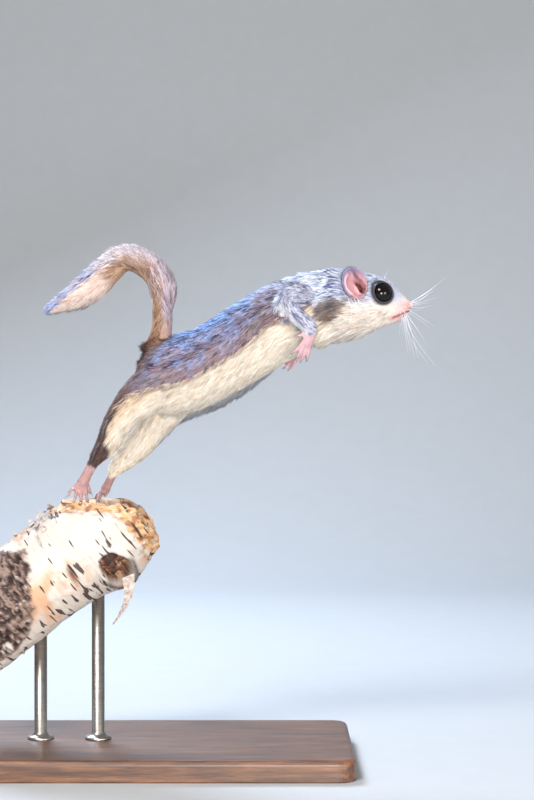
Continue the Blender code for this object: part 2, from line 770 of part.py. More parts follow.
def tail_lock(samples, k, angle, rough, last):
    """One flat, bent lock of the tail's coat, from inside the core out to the coat's tips."""
    length_share = rough.uniform(0.92, 1.04)
    place, along, across, back, width = samples[k]
    outward = across * math.cos(angle) + back * math.sin(angle)
    flat_side = along.cross(outward).normalized()
    edge_share = abs(math.cos(angle))
    sweep = round((LOCK_REACH + 2.0 * (1 - edge_share)) * length_share / TAIL_STEP_LENGTH)
    far = samples[min(k + sweep, last)]
    middle = samples[min(k + sweep // 3, last)]
    depth = TAIL_COAT_DEPTH * min(width / 8.0, 1.0) * (1.0 - TAIL_COAT_THINS * k / TAIL_STEPS)
    reach = 1.0 / math.hypot(math.cos(angle) / width, math.sin(angle) / depth)
    bend_out = middle[2] * math.cos(angle) + middle[3] * math.sin(angle)
    tip_out = far[2] * math.cos(angle) + far[3] * math.sin(angle)
    root = place + outward * reach * 0.15
    bend = middle[0] + bend_out * reach * 0.62
    tip = far[0] + tip_out * reach * length_share * min(far[4] / width, 1.0)
    tip = tip - far[1] * rough.uniform(0.4, 1.2)
    shoulder = bend * 0.45 + tip * 0.55 + outward * 0.4
    at_edge = edge_share > 0.8
    size = min(width / LOCK_FULL_WIDTH, 1.0)
    rings = []
    for centre, ahead, scale in ((root, bend, 0.85), (bend, shoulder, 1.0), (shoulder, tip, 0.66)):
        heading = (ahead - centre).normalized()
        upright = flat_side.cross(heading).normalized()
        broad = (upright if at_edge else flat_side) * LOCK_HALF_BREADTH * scale * size
        thin = (flat_side if at_edge else upright) * LOCK_HALF_THICKNESS * scale
        rings.append([centre + broad, centre + thin, centre - broad, centre - thin])
    return loft("lock", rings, None, tip)


def make_tail(name, first, last):
    """One length of the tail: its core, with locks along both edges and over both faces."""
    samples = tail_samples(TAIL_STEPS + 1)
    rough = random.Random(name + str(TAIL_SEED))
    pieces = [tail_core(name, first, last)]
    low = round(first * TAIL_STEPS)
    high = round(last * TAIL_STEPS)
    rows = [(0.0, EDGE_LOCK_SPACING, 0.0), (math.pi, EDGE_LOCK_SPACING, 0.5)]
    for angle, shift in FACE_LOCK_ROWS:
        rows.append((math.radians(angle), FACE_LOCK_SPACING, shift))
    for angle, spacing, shift in rows:
        step = spacing / TAIL_STEP_LENGTH
        at = low + LOCK_CLEAR + shift * step
        finish = high - LOCK_CLEAR if last < 1 else high - TAIL_END_BARE
        while at < finish:
            pieces.append(tail_lock(samples, round(at), angle + rough.uniform(-0.1, 0.1), rough, high))
            at += step
    if last == 1:
        for angle in TAIL_END_ANGLES:
            pieces.append(tail_lock(samples, high - 12, math.radians(angle), rough, high))
    return fuse(name, pieces)


def break_height(u):
    """How far along its axis the branch reaches at height u across it."""
    top = 1.28 * (BRANCH_RADIUS - u)
    dome = BRANCH_BREAK_TOP - 0.022 * (u + 9.0) ** 2
    return min(top, dome)


def make_branch():
    axis = Vector((math.cos(BRANCH_ANGLE), 0.0, math.sin(BRANCH_ANGLE)))
    lift = Vector((-math.sin(BRANCH_ANGLE), 0.0, math.cos(BRANCH_ANGLE)))
    side = Vector((0.0, 1.0, 0.0))
    sides = 28
    rough = random.Random(5)
    waves = [(rough.randint(2, 6), rough.uniform(0, 6.28), rough.uniform(0.02, 0.09),
              rough.uniform(0.2, 0.5)) for _ in range(7)]

    def radius(angle, t):
        size = BRANCH_RADIUS
        for turns, phase, rate, amount in waves:
            size += amount * math.sin(turns * angle + phase + rate * t)
        low = math.exp(-((angle - math.pi) / 0.75) ** 2) * math.exp(-((t - 4.0) / 13.0) ** 2)
        return size + BRANCH_SWELLING * low

    def place(angle, t, share=1.0):
        reach = radius(angle, t) * share
        return BRANCH_POINT + axis * t + lift * reach * math.cos(angle) + side * reach * math.sin(angle)

    angles = [2 * math.pi * k / sides for k in range(sides)]
    rings = []
    rows = 12
    for row in range(rows + 1):
        share = row / rows
        ring = []
        for angle in angles:
            end = break_height(BRANCH_RADIUS * math.cos(angle) * 0.98)
            ring.append(place(angle, BRANCH_SAWN_AT + (end - BRANCH_SAWN_AT) * share))
        rings.append(ring)
    for share in (0.85, 0.6, 0.3):
        ring = []
        for angle in angles:
            end = break_height(BRANCH_RADIUS * math.cos(angle) * share) + rough.uniform(-0.5, 0.5)
            ring.append(place(angle, end, share))
        rings.append(ring)
    top = BRANCH_POINT + axis * break_height(0.0)
    return loft("perch_branch", rings, None, top)


def make_base():
    shape = bmesh.new()
    bmesh.ops.create_cube(shape, size=1.0)
    for vert in shape.verts:
        vert.co = Vector((vert.co.x * BASE_LENGTH, vert.co.y * BASE_WIDTH,
                          (vert.co.z + 0.5) * BASE_HEIGHT)) * MM
    upright = [e for e in shape.edges if abs(e.verts[0].co.z - e.verts[1].co.z) > 0.5 * BASE_HEIGHT * MM]
    bmesh.ops.bevel(shape, geom=upright, offset=8 * MM, segments=5, profile=0.5, affect="EDGES",
                    material=-1)
    top = [e for e in shape.edges if min(v.co.z for v in e.verts) > 0.9 * BASE_HEIGHT * MM]
    bmesh.ops.bevel(shape, geom=top, offset=BASE_ROUND * MM, segments=3, profile=0.5, affect="EDGES",
                    material=-1)
    mesh = bpy.data.meshes.new("stand_base")
    shape.to_mesh(mesh)
    shape.free()
    item = bpy.data.objects.new("stand_base", mesh)
    bpy.context.collection.objects.link(item)
    return item


def make_rod(name, x):
    low = BASE_HEIGHT + GAP
    high = BRANCH_POINT.z - 10.0 + (x - BRANCH_POINT.x) * math.tan(BRANCH_ANGLE)
    sides = 20
    rings = [[Vector((x + ROD_RADIUS * math.cos(a), ROD_RADIUS * math.sin(a), z))
              for a in (2 * math.pi * k / sides for k in range(sides))] for z in (low, high)]
    return loft(name, rings)


def build():
    start_empty()
    back_fur = finish_colour("slate_back_fur", (0.16, 0.17, 0.20))
    pale_fur = finish_colour("cream_belly_fur", (0.72, 0.66, 0.56))
    face_fur = finish_colour("pale_face_fur", (0.50, 0.48, 0.47))
    flank_fur = finish_colour("brown_flank_fur", (0.13, 0.10, 0.09))
    tail_fur = finish_colour("cinnamon_tail_fur", (0.42, 0.27, 0.19))
    skin = finish_colour("pink_skin", (0.66, 0.38, 0.35), 0.55)
    eye_black = finish_colour("eye_black", (0.01, 0.008, 0.008), 0.08)
    bark = finish_colour("birch_bark", (0.62, 0.57, 0.52), 0.85)
    base_wood = finish_colour("base_wood", (0.10, 0.055, 0.03), 0.4)
    rod_metal = finish_colour("rod_metal", (0.30, 0.28, 0.25), 0.35)

    torso = make_torso()
    neck = make_neck()
    head = make_head()
    dress(neck, back_fur)
    tails = [make_tail(name, first, last) for name, first, last in TAIL_PARTS]
    tail_base = tails[0]
    carve(tail_base, [torso])
    for item in tails:
        dress(item, tail_fur)
    for side in (-1, 1):
        eye = make_eye(side)
        dress(eye, eye_black)
        dress(make_ear(side), skin)
        foreleg = make_foreleg(side)
        carve(foreleg, [torso, neck])
        hand = make_hand(side)
        carve(hand, [foreleg, torso])
        dress(hand, skin)
        hindleg = make_hindleg(side)
        carve(hindleg, [torso, tail_base])
        patagium = make_patagium(side)
        carve(patagium, [torso, hindleg, foreleg])
        dress(hindleg, pale_fur)
        dress(foreleg, back_fur)
        dress(patagium, flank_fur)
    branch = make_branch()
    for side in (-1, 1):
        foot = make_foot(side)
        leg = bpy.data.objects["hindleg_right" if side < 0 else "hindleg_left"]
        carve(foot, [leg, branch])
        dress(foot, skin)
    dress(torso, back_fur)
    dress(head, face_fur)
    for name, x in (("stand_rod_rear", ROD_REAR_X), ("stand_rod_front", ROD_FRONT_X)):
        rod = make_rod(name, x)
        carve(rod, [branch])
        dress(rod, rod_metal)
    dress(branch, bark)
    dress(make_base(), base_wood)


build()
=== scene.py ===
"""Southern flying squirrel leaping off a broken birch branch: a life-size museum model.

Sizes are in millimetres, except the room's, and become metres where a mesh is made. The
animal faces +X and its right side faces -Y, as in the frame.
"""
import math

import bmesh
import bpy
import numpy as np
from mathutils import Matrix, Vector
from mathutils.bvhtree import BVHTree
from mathutils.kdtree import KDTree


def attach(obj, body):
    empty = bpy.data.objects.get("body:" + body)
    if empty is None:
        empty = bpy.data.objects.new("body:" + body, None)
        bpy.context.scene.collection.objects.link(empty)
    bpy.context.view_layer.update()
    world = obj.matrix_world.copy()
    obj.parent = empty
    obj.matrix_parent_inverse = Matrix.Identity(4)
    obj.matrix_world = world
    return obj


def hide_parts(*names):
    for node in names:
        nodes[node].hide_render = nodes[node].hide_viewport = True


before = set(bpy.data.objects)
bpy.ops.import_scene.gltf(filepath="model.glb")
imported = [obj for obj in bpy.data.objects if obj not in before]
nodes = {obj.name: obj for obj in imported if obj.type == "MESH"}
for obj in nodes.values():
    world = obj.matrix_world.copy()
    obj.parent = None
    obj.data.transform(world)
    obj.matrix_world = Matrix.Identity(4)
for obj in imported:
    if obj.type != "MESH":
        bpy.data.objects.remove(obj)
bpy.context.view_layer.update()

MM = 0.001

# The room: a pale seamless sheet of paper that rises behind the model, lit by large soft
# lamps. The camera is level, 0.9 m off, and looks square at the animal's right side.
CAMERA_PLACE = (0.0503, -0.9, 0.1692)
CAMERA_LENS = 86.2
PAPER_REACH = 2.4
PAPER_BEHIND = 1.3
PAPER_HEIGHT = 2.2
PAPER_BEND = 0.5
PAPER_BEND_STEPS = 12
LAMPS = (
    ("key", (-0.35, -0.80, 0.95), 0.35, 13.5, (1.0, 0.98, 0.95), 1.0),
    ("fill", (0.85, -0.85, 0.10), 0.50, 10.0, (1.0, 0.95, 0.89), 0.1),
    ("rim", (-0.35, 0.65, 0.85), 0.40, 19.0, (0.66, 0.80, 1.0), 1.0),
    ("front", (0.12, -1.10, 0.12), 0.30, 11.0, (1.0, 0.97, 0.93), 0.1),
)
LAMP_AIM = Vector((0.02, 0.0, 0.17))
ROOM_LIGHT = (0.93, 0.95, 1.0)
ROOM_STRENGTH = 0.34


class Wire:
    """One value in a material. Sums and products of wires add Math nodes."""

    def __init__(self, finish, socket):
        self.finish = finish
        self.socket = socket

    def maths(self, operation, first, second):
        return self.finish.add("ShaderNodeMath", {"operation": operation}, {0: first, 1: second})

    def __add__(self, other):
        return self.maths("ADD", self, other)

    __radd__ = __add__

    def __sub__(self, other):
        return self.maths("SUBTRACT", self, other)

    def __mul__(self, other):
        return self.maths("MULTIPLY", self, other)

    __rmul__ = __mul__


class Finish:
    """A material, with one way to add any node to it."""

    def __init__(self, name, roughness, **constants):
        self.material = bpy.data.materials.new(name)
        self.material.use_nodes = True
        self.tree = self.material.node_tree
        self.shader = self.tree.nodes["Principled BSDF"]
        self.shader.inputs["Roughness"].default_value = roughness
        for socket, value in constants.items():
            self.shader.inputs[socket.replace("_", " ")].default_value = value

    def join(self, value, socket):
        """Links a wire to a socket, or writes a constant on it."""
        if isinstance(value, Wire):
            self.tree.links.new(value.socket, socket)
        else:
            socket.default_value = value

    def add(self, kind, settings=None, inputs=None, output=0):
        """A node of any kind, with its settings and inputs, as the wire from one output."""
        made = self.tree.nodes.new(kind)
        for key, value in (settings or {}).items():
            if key == "stops":
                ramp = made.color_ramp
                while len(ramp.elements) < len(value):
                    ramp.elements.new(0.5)
                for stop, (place, colour) in zip(ramp.elements, value):
                    stop.position = place
                    stop.color = (*colour, 1.0)
            else:
                setattr(made, key, value)
        for key, value in (inputs or {}).items():
            self.join(value, made.inputs[key])
        return Wire(self, made.outputs[output])

    def feed(self, socket, value):
        self.join(value, self.shader.inputs[socket])

    def place(self, scale=(1, 1, 1), turn=(0, 0, 0)):
        """The place on the object, in metres, stretched and turned."""
        spot = self.add("ShaderNodeTexCoord", output=3)
        return self.add("ShaderNodeMapping", inputs={"Vector": spot, "Rotation": turn,
                                                     "Scale": scale})

    def noise(self, where, scale, detail=3.0, rough=0.5):
        return self.add("ShaderNodeTexNoise", inputs={"Vector": where, "Scale": scale,
                                                      "Detail": detail, "Roughness": rough})

    def step(self, value, low, high):
        return self.add("ShaderNodeMapRange", {"interpolation_type": "SMOOTHSTEP"},
                        {"Value": value, "From Min": low, "From Max": high})

    def ramp(self, value, stops):
        return self.add("ShaderNodeValToRGB", {"stops": stops}, {"Fac": value})

    def mix(self, share, first, second, how="MIX"):
        settings = {"data_type": "RGBA", "blend_type": how}
        colours = [c if isinstance(c, Wire) else (*c, 1.0) for c in (first, second)]
        return self.add("ShaderNodeMix", settings, {0: share, 6: colours[0], 7: colours[1]}, 2)

    def attribute(self, name):
        return self.add("ShaderNodeAttribute", {"attribute_name": name})

    def bump(self, height, distance, strength=1.0):
        self.feed("Normal", self.add("ShaderNodeBump", inputs={
            "Height": height, "Distance": distance, "Strength": strength}))


def paint(red, green, blue):
    """A colour given as on a paint chart, 0 to 255, made linear."""
    return tuple(((c / 255 + 0.055) / 1.055) ** 2.4 for c in (red, green, blue))


def shown(name, shape, finish, smooth=True):
    """A finished bmesh, given in millimetres, as an object in the scene."""
    bmesh.ops.scale(shape, vec=(MM, MM, MM), verts=shape.verts)
    mesh = bpy.data.meshes.new(name)
    for face in shape.faces:
        face.smooth = smooth
    shape.to_mesh(mesh)
    shape.free()
    item = bpy.data.objects.new(name, mesh)
    bpy.context.scene.collection.objects.link(item)
    item.data.materials.append(finish.material)
    return item


camera = bpy.data.objects.new("camera", bpy.data.cameras.new("camera"))
camera.location = CAMERA_PLACE
camera.rotation_euler = (math.pi / 2, 0, 0)
camera.data.lens = CAMERA_LENS
camera.data.clip_start = 0.01
bpy.context.scene.collection.objects.link(camera)
bpy.context.scene.camera = camera

paper_finish = Finish("pale_paper", 0.9)
grain = paper_finish.noise(paper_finish.place(), 60.0, 4.0)
paper_finish.feed("Base Color", paper_finish.mix(grain, (0.44, 0.45, 0.46), (0.47, 0.48, 0.49)))
paper = bmesh.new()
edge = [paper.verts.new((-PAPER_REACH, -PAPER_REACH, 0)), paper.verts.new((PAPER_REACH, -PAPER_REACH, 0))]
edge = [paper.edges.new(edge)]
steps = [(0, PAPER_REACH + PAPER_BEHIND - PAPER_BEND, 0)]
for k in range(PAPER_BEND_STEPS):
    low = math.pi / 2 * k / PAPER_BEND_STEPS
    high = math.pi / 2 * (k + 1) / PAPER_BEND_STEPS
    steps.append((0, PAPER_BEND * (math.sin(high) - math.sin(low)),
                  PAPER_BEND * (math.cos(low) - math.cos(high))))
steps.append((0, 0, PAPER_HEIGHT - PAPER_BEND))
for move in steps:
    grown = bmesh.ops.extrude_edge_only(paper, edges=edge)["geom"]
    bmesh.ops.translate(paper, vec=move, verts=[g for g in grown if isinstance(g, bmesh.types.BMVert)])
    edge = [g for g in grown if isinstance(g, bmesh.types.BMEdge)]
bmesh.ops.scale(paper, vec=(1000, 1000, 1000), verts=paper.verts)
bmesh.ops.recalc_face_normals(paper, faces=paper.faces)
shown("paper", paper, paper_finish)

for name, place, size, power, colour, gloss in LAMPS:
    lamp = bpy.data.lights.new(name, "AREA")
    lamp.shape = "SQUARE"
    lamp.size = size
    lamp.energy = power
    lamp.color = colour
    lamp.specular_factor = gloss
    item = bpy.data.objects.new(name, lamp)
    item.location = place
    item.rotation_euler = (LAMP_AIM - Vector(place)).to_track_quat("-Z", "Y").to_euler()
    bpy.context.scene.collection.objects.link(item)
room = bpy.data.worlds.new("room")
room.use_nodes = True
room.node_tree.nodes["Background"].inputs[0].default_value = (*ROOM_LIGHT, 1.0)
room.node_tree.nodes["Background"].inputs[1].default_value = ROOM_STRENGTH
bpy.context.scene.world = room
bpy.context.scene.view_settings.view_transform = "Standard"

# The skin: one closed hide over the whole animal, from the muzzle to the tail's tip. It is
# fused from the frame's flesh, let in by the depth of the coat, and smoothed.
FLESH = ("torso", "neck", "head", "foreleg_right", "foreleg_left", "hand_right", "hand_left",
         "hindleg_right", "hindleg_left", "foot_right", "foot_left", "patagium_right",
         "patagium_left", "tail")
# How far each solid is first swollen, so that neighbours fuse, and then let in, in mm.
SWELL = {"torso": 0.1, "neck": 0.45, "foreleg_right": 0.35, "foreleg_left": 0.35,
         "hindleg_right": 0.35, "hindleg_left": 0.35, "patagium_right": 0.35,
         "patagium_left": 0.35}
LET_IN = {"torso": 2.1, "neck": 1.9, "head": 1.0, "foreleg_right": 0.9, "foreleg_left": 0.9,
          "hand_right": 0.0, "hand_left": 0.0, "hindleg_right": 1.5, "hindleg_left": 1.5,
          "foot_right": 0.0, "foot_left": 0.0, "patagium_right": 0.7, "patagium_left": 0.7,
          "tail": 0.0}
PAWS = ("hand_right", "hand_left", "foot_right", "foot_left")
NOSE = np.array((119.5, 0, 213.5))
EYE = np.array((103.2, 8.5, 218.8))
SKIN_GRAIN = 0.5
MARKS_PER_NODE = 2500
# The head's skin is let in least at the muzzle and most at the nape, and nowhere is skin let
# in by more than a share of the flesh's thickness.
HEAD_DEPTH = (0.25, 1.90)
DEEPEST_SHARE = 0.28
# The lines that the hair follows, from the head back, and down each leg.
TRUNK_LINE = ((74.0, 0, 213.4), (56.0, 0, 205.5), (42.8, 0, 197.8), (27.8, 0, 188.8),
              (16.5, 0, 183.8), (0.0, 0, 177.5), (-9.6, 0, 172.5))
HAIR_LINES = {
    "neck": ((92.0, 0, 216.0), (74.0, 0, 213.4)),
    "torso": TRUNK_LINE,
    "foreleg_right": ((71.0, -7.0, 215.0), (65.8, -13.0, 216.6), (59.2, -17.6, 214.8),
                      (61.0, -19.6, 210.4), (66.4, -19.6, 205.4), (70.8, -19.0, 201.4)),
    "foreleg_left": ((72.0, 10.0, 214.0), (65.0, 15.0, 209.0), (59.4, 17.6, 204.6),
                     (62.0, 17.0, 200.4), (66.6, 15.4, 197.4), (70.0, 13.6, 195.0)),
    "hand_right": ((71.4, -19.0, 201.4), (66.8, -18.1, 191.5)),
    "hand_left": ((69.4, 13.4, 194.9), (61.0, 12.1, 187.9)),
    "hindleg_right": ((2.0, -7.0, 178.0), (-7.0, -9.5, 171.4), (-18.8, -11.0, 158.2),
                      (-27.6, -9.4, 143.8), (-30.4, -8.6, 139.9)),
    "hindleg_left": ((5.0, 7.0, 172.0), (0.0, 9.5, 163.4), (-11.4, 10.8, 147.6),
                     (-20.8, 8.2, 137.2), (-23.0, 7.4, 134.0)),
    "foot_right": ((-30.9, -8.5, 139.4), (-35.8, -8.2, 130.2), (-38.0, -9.5, 123.0)),
    "foot_left": ((-23.1, 7.3, 133.4), (-26.8, 9.6, 126.0), (-30.0, 10.5, 122.5)),
}
# Where the gliding skin leaves the body, and its free edge, for the right side and the left.
GLIDE_ROOT = {
    -1: ((66.0, -8.0, 218.0), (54.0, -10.0, 213.0), (40.0, -10.0, 203.0), (26.0, -10.0, 194.0),
         (12.0, -10.0, 187.0), (-1.0, -9.0, 181.0), (-11.0, -10.0, 169.0),
         (-19.0, -10.5, 158.5), (-24.2, -10.2, 149.6), (-28.2, -9.4, 143.6)),
    1: ((66.0, 8.0, 212.0), (54.0, 10.0, 206.0), (41.0, 10.0, 197.0), (27.0, 10.0, 188.0),
        (13.0, 10.0, 181.0), (4.0, 10.0, 173.0), (-3.0, 10.0, 160.0),
        (-9.5, 10.6, 150.0), (-15.5, 9.8, 142.6), (-19.4, 8.6, 138.2)),
}
GLIDE_EDGE = {
    -1: ((62.5, -20.5, 208.0), (52.2, -23.5, 205.4), (39.7, -24.6, 194.4), (26.5, -25.0, 186.6),
         (13.3, -24.6, 179.3), (-0.6, -22.6, 175.8), (-11.6, -19.4, 171.6),
         (-20.4, -16.8, 162.6), (-24.8, -14.6, 152.6), (-28.4, -12.0, 144.4)),
    1: ((62.0, 20.5, 194.0), (52.4, 23.0, 184.6), (40.8, 24.2, 175.4), (27.6, 24.6, 167.4),
        (14.8, 24.2, 163.0), (5.4, 22.0, 158.6), (-3.4, 18.8, 149.4),
        (-10.8, 16.4, 142.6), (-16.6, 14.0, 138.6), (-20.6, 11.2, 136.4)),
}
# The tail's middle line with its half width, and how far it is twisted, in degrees.
TAIL_LINE = (
    (-8.6, 0.0, 185.6, 5.0), (-5.4, 0.0, 194.6, 7.0), (-0.2, 0.0, 204.6, 9.4),
    (1.6, 0.0, 214.0, 10.6), (0.4, -0.4, 223.2, 11.2), (-4.8, -0.8, 230.8, 11.6),
    (-13.0, -1.0, 235.0, 11.8), (-20.8, -1.0, 232.2, 11.6), (-27.6, -1.0, 226.6, 10.8),
    (-34.6, -1.0, 221.0, 9.2), (-43.0, -1.0, 216.0, 7.6), (-51.0, -1.0, 211.8, 5.2),
    (-57.6, -1.0, 208.8, 1.2))
TAIL_TURN = (0, -8, -16, -20, -16, -4, 8, 30, 48, 40, 16, 6, 0)
TAIL_SAMPLES = 121
TAIL_TIP_BARE = 8
TAIL_ROOT_SAMPLES = 40
TAIL_CORE_SHARE = 0.42
TAIL_CORE_DEPTH = 4.3
TAIL_ROOT_WIDER = 0.45
TAIL_ROOT_DEEPER = 1.2
TAIL_ROOT_AHEAD = np.array((4.0, 0, 0))
TAIL_ROOT_SUNK = np.array((2.0, 0, -6.0))
# Skin this near the tail's line, and above its foot, is the tail's own.
TAIL_OWN_REACH = 8.5
TAIL_OWN_ABOVE = 192.5


def curve_through(points, count):
    """Samples of a smooth curve through points of any dimension, as an array."""
    points = np.array(points, float)
    spans = len(points) - 1
    place = np.linspace(0, spans, count)
    k = np.minimum(place.astype(int), spans - 1)
    t = (place - k)[:, None]
    a = points[np.maximum(k - 1, 0)]
    b = points[k]
    c = points[k + 1]
    d = points[np.minimum(k + 2, spans)]
    return 0.5 * (2 * b + (c - a) * t + (2 * a - 5 * b + 4 * c - d) * t ** 2
                  + (3 * b - a - 3 * c + d) * t ** 3)


def grained(points, size, layers=3):
    """Smooth random heights, about -1 to 1, whose largest lumps are a size across."""
    lattice = np.random.default_rng(3).uniform(-1, 1, (32, 32, 32))
    total = np.zeros(len(points))
    for layer in range(layers):
        spot = points / size * 2 ** layer + 11.3 * (layer + 1)
        cell = np.floor(spot).astype(int)
        share = spot - cell
        share = share * share * (3 - 2 * share)
        for corner in range(8):
            step = np.array((corner & 1, corner >> 1 & 1, corner >> 2 & 1))
            weight = np.prod(np.where(step, share, 1 - share), axis=1)
            a, b, c = ((cell + step) % 32).T
            total += lattice[a, b, c] * weight * 0.6 ** layer
    return total


def unit(rows):
    """Each row at length 1."""
    return rows / np.maximum(np.linalg.norm(rows, axis=-1, keepdims=True), 1e-9)


def ease(value, low, high):
    """0 below low, 1 above high, smooth between them."""
    t = np.clip((value - low) / (high - low), 0, 1)
    return t * t * (3 - 2 * t)


def bridged(shape, rings, close_ends=True):
    """Loops of points, bridged in order into a tube."""
    loops = []
    for ring in rings:
        verts = [shape.verts.new(p) for p in ring]
        loops.append([shape.edges.new((verts[k - 1], verts[k])) for k in range(len(verts))])
    for first, second in zip(loops, loops[1:]):
        bmesh.ops.bridge_loops(shape, edges=first + second)
    if close_ends:
        bmesh.ops.contextual_create(shape, geom=loops[0])
        bmesh.ops.contextual_create(shape, geom=loops[-1])
    bmesh.ops.recalc_face_normals(shape, faces=shape.faces)
    return shape


tail_rows = curve_through(TAIL_LINE, TAIL_SAMPLES)
tail_place = tail_rows[:, :3]
tail_width = tail_rows[:, 3]
tail_along = unit(np.gradient(tail_place, axis=0))
tail_turn = np.radians(curve_through([(t,) for t in TAIL_TURN], TAIL_SAMPLES)[:, 0])[:, None]
tail_up = np.stack([-tail_along[:, 2], 0 * tail_along[:, 0], tail_along[:, 0]], 1)
tail_across = unit(np.array((0, -1.0, 0)) * np.cos(tail_turn) - tail_up * np.sin(tail_turn))
tail_across = unit(tail_across - tail_along * (tail_across * tail_along).sum(1, keepdims=True))
tail_back = unit(np.cross(tail_along, tail_across))


def tail_core():
    """The tail's flesh: a flat tube along its line, thicker and set forward at its root."""
    rings = []
    around = np.linspace(0, 2 * math.pi, 20, endpoint=False)[:, None]
    for k in range(0, TAIL_SAMPLES - TAIL_TIP_BARE, 3):
        root = 1 - min(k / TAIL_ROOT_SAMPLES, 1)
        wide = max(tail_width[k] * (TAIL_CORE_SHARE + TAIL_ROOT_WIDER * root), 1.2)
        deep = min(TAIL_CORE_DEPTH, wide * 0.9) + TAIL_ROOT_DEEPER * ease(root, 0.2, 0.8)
        middle = tail_place[k] + TAIL_ROOT_AHEAD * ease(root, 0.35, 0.75)
        if k == 0:
            middle = middle + TAIL_ROOT_SUNK
        rings.append(middle + tail_across[k] * wide * np.cos(around)
                     + tail_back[k] * deep * np.sin(around))
    return bridged(bmesh.new(), rings)


def whole_flesh():
    """All the flesh in one mesh, each part swollen enough to run into its neighbours."""
    whole = bmesh.new()
    for name in FLESH:
        if name == "tail":
            part = tail_core()
            bmesh.ops.scale(part, vec=(MM, MM, MM), verts=part.verts)
        else:
            part = bmesh.new()
            part.from_mesh(nodes[name].data)
            bmesh.ops.remove_doubles(part, verts=part.verts, dist=1e-6)
            part.normal_update()
            reach = SWELL.get(name, 0.0) * MM
            moves = [v.normal * reach * min(v.calc_shell_factor(), 1.5) for v in part.verts]
            for vert, move in zip(part.verts, moves):
                vert.co += move
        step = bpy.data.meshes.new("step")
        part.to_mesh(step)
        part.free()
        whole.from_mesh(step)
        bpy.data.meshes.remove(step)
    return whole


def evened(mesh, grain):
    """The mesh made again from small even squares, with one of Blender's modifiers."""
    item = bpy.data.objects.new("step", mesh)
    bpy.context.scene.collection.objects.link(item)
    step = item.modifiers.new("even", "REMESH")
    step.mode = "VOXEL"
    step.voxel_size = grain * MM
    graph = bpy.context.evaluated_depsgraph_get()
    result = bpy.data.meshes.new_from_object(item.evaluated_get(graph))
    bpy.data.objects.remove(item)
    return result


def rows_of(items, key, width=3):
    """One property of many mesh items, as rows of an array."""
    values = np.empty(len(items) * width, np.float32 if key != "vertices" else np.int32)
    items.foreach_get(key, values)
    return values.reshape(-1, width).astype(float if key != "vertices" else int)


class Hide:
    """A smooth surface with values at its points, which can be evened out over it."""

    def __init__(self, mesh):
        self.mesh = mesh
        self.links = rows_of(mesh.edges, "vertices", 2)
        self.counts = np.bincount(self.links.ravel(), minlength=len(mesh.vertices))[:, None]
        self.read()

    def read(self):
        """Takes places in millimetres and normals from the mesh."""
        self.points = rows_of(self.mesh.vertices, "co") / MM
        self.normals = rows_of(self.mesh.vertex_normals, "vector")

    def write(self, points):
        """Moves the mesh's points to new places, in millimetres."""
        self.mesh.vertices.foreach_set("co", (points * MM).astype(np.float32).ravel())
        self.mesh.update()
        self.read()

    def relaxed(self, values, rounds, share=0.5):
        """Values drawn towards the mean of their neighbours, a few rounds over."""
        one, two = self.links.T
        for _ in range(rounds):
            around = np.empty_like(values)
            for k in range(values.shape[1]):
                around[:, k] = (np.bincount(one, values[two, k], len(values))
                                + np.bincount(two, values[one, k], len(values)))
            values = values + (around / self.counts - values) * share
        return values


def nearest_rows(places, points):
    """For each point, which of the places is nearest to it."""
    tree = KDTree(len(places))
    for k, place in enumerate(places):
        tree.insert(place, k)
    tree.balance()
    return np.array([tree.find(p)[1] for p in points])


def scattered(mesh, count, rough):
    """Random places on a mesh of triangles, in millimetres."""
    mesh.calc_loop_triangles()
    corners = np.empty(len(mesh.loop_triangles) * 3, np.int32)
    mesh.loop_triangles.foreach_get("vertices", corners)
    points = rows_of(mesh.vertices, "co")[corners.reshape(-1, 3)] / MM
    area = np.linalg.norm(np.cross(points[:, 1] - points[:, 0], points[:, 2] - points[:, 0]), axis=1)
    pick = np.searchsorted(np.cumsum(area) / area.sum(), rough.random(count) * 0.999999)
    share = rough.dirichlet((1, 1, 1), count)[:, :, None]
    return (points[pick] * share).sum(1)


rough = np.random.default_rng(7)
flesh = whole_flesh()
flesh_mesh = bpy.data.meshes.new("flesh")
flesh.to_mesh(flesh_mesh)
flesh.free()
skin_mesh = evened(flesh_mesh, SKIN_GRAIN)
skin_mesh.name = "skin"
hide = Hide(skin_mesh)

marks = []
owners = []
for index, name in enumerate(FLESH):
    if name == "tail":
        spots = tail_place[::2]
    else:
        spots = scattered(nodes[name].data, MARKS_PER_NODE, rough)
    marks.append(spots)
    owners.append(np.full(len(spots), index))
owner = np.concatenate(owners)[nearest_rows(np.concatenate(marks), hide.points)]
x, y, z = hide.points.T
to_tail = np.linalg.norm(hide.points - tail_place[nearest_rows(tail_place, hide.points)], axis=1)
owner[(to_tail < TAIL_OWN_REACH) & (z > TAIL_OWN_ABOVE) & (x < 30)] = FLESH.index("tail")


def is_part(*names):
    """Which points of the hide belong to the named parts."""
    return np.isin(owner, [FLESH.index(n) for n in names])


def mirrored(place):
    """A place or direction given for the left side, or its mirror image, for each point."""
    side = np.sign(hide.points[:, 1])
    return np.stack([0 * side + place[0], side * place[1], 0 * side + place[2]], 1)


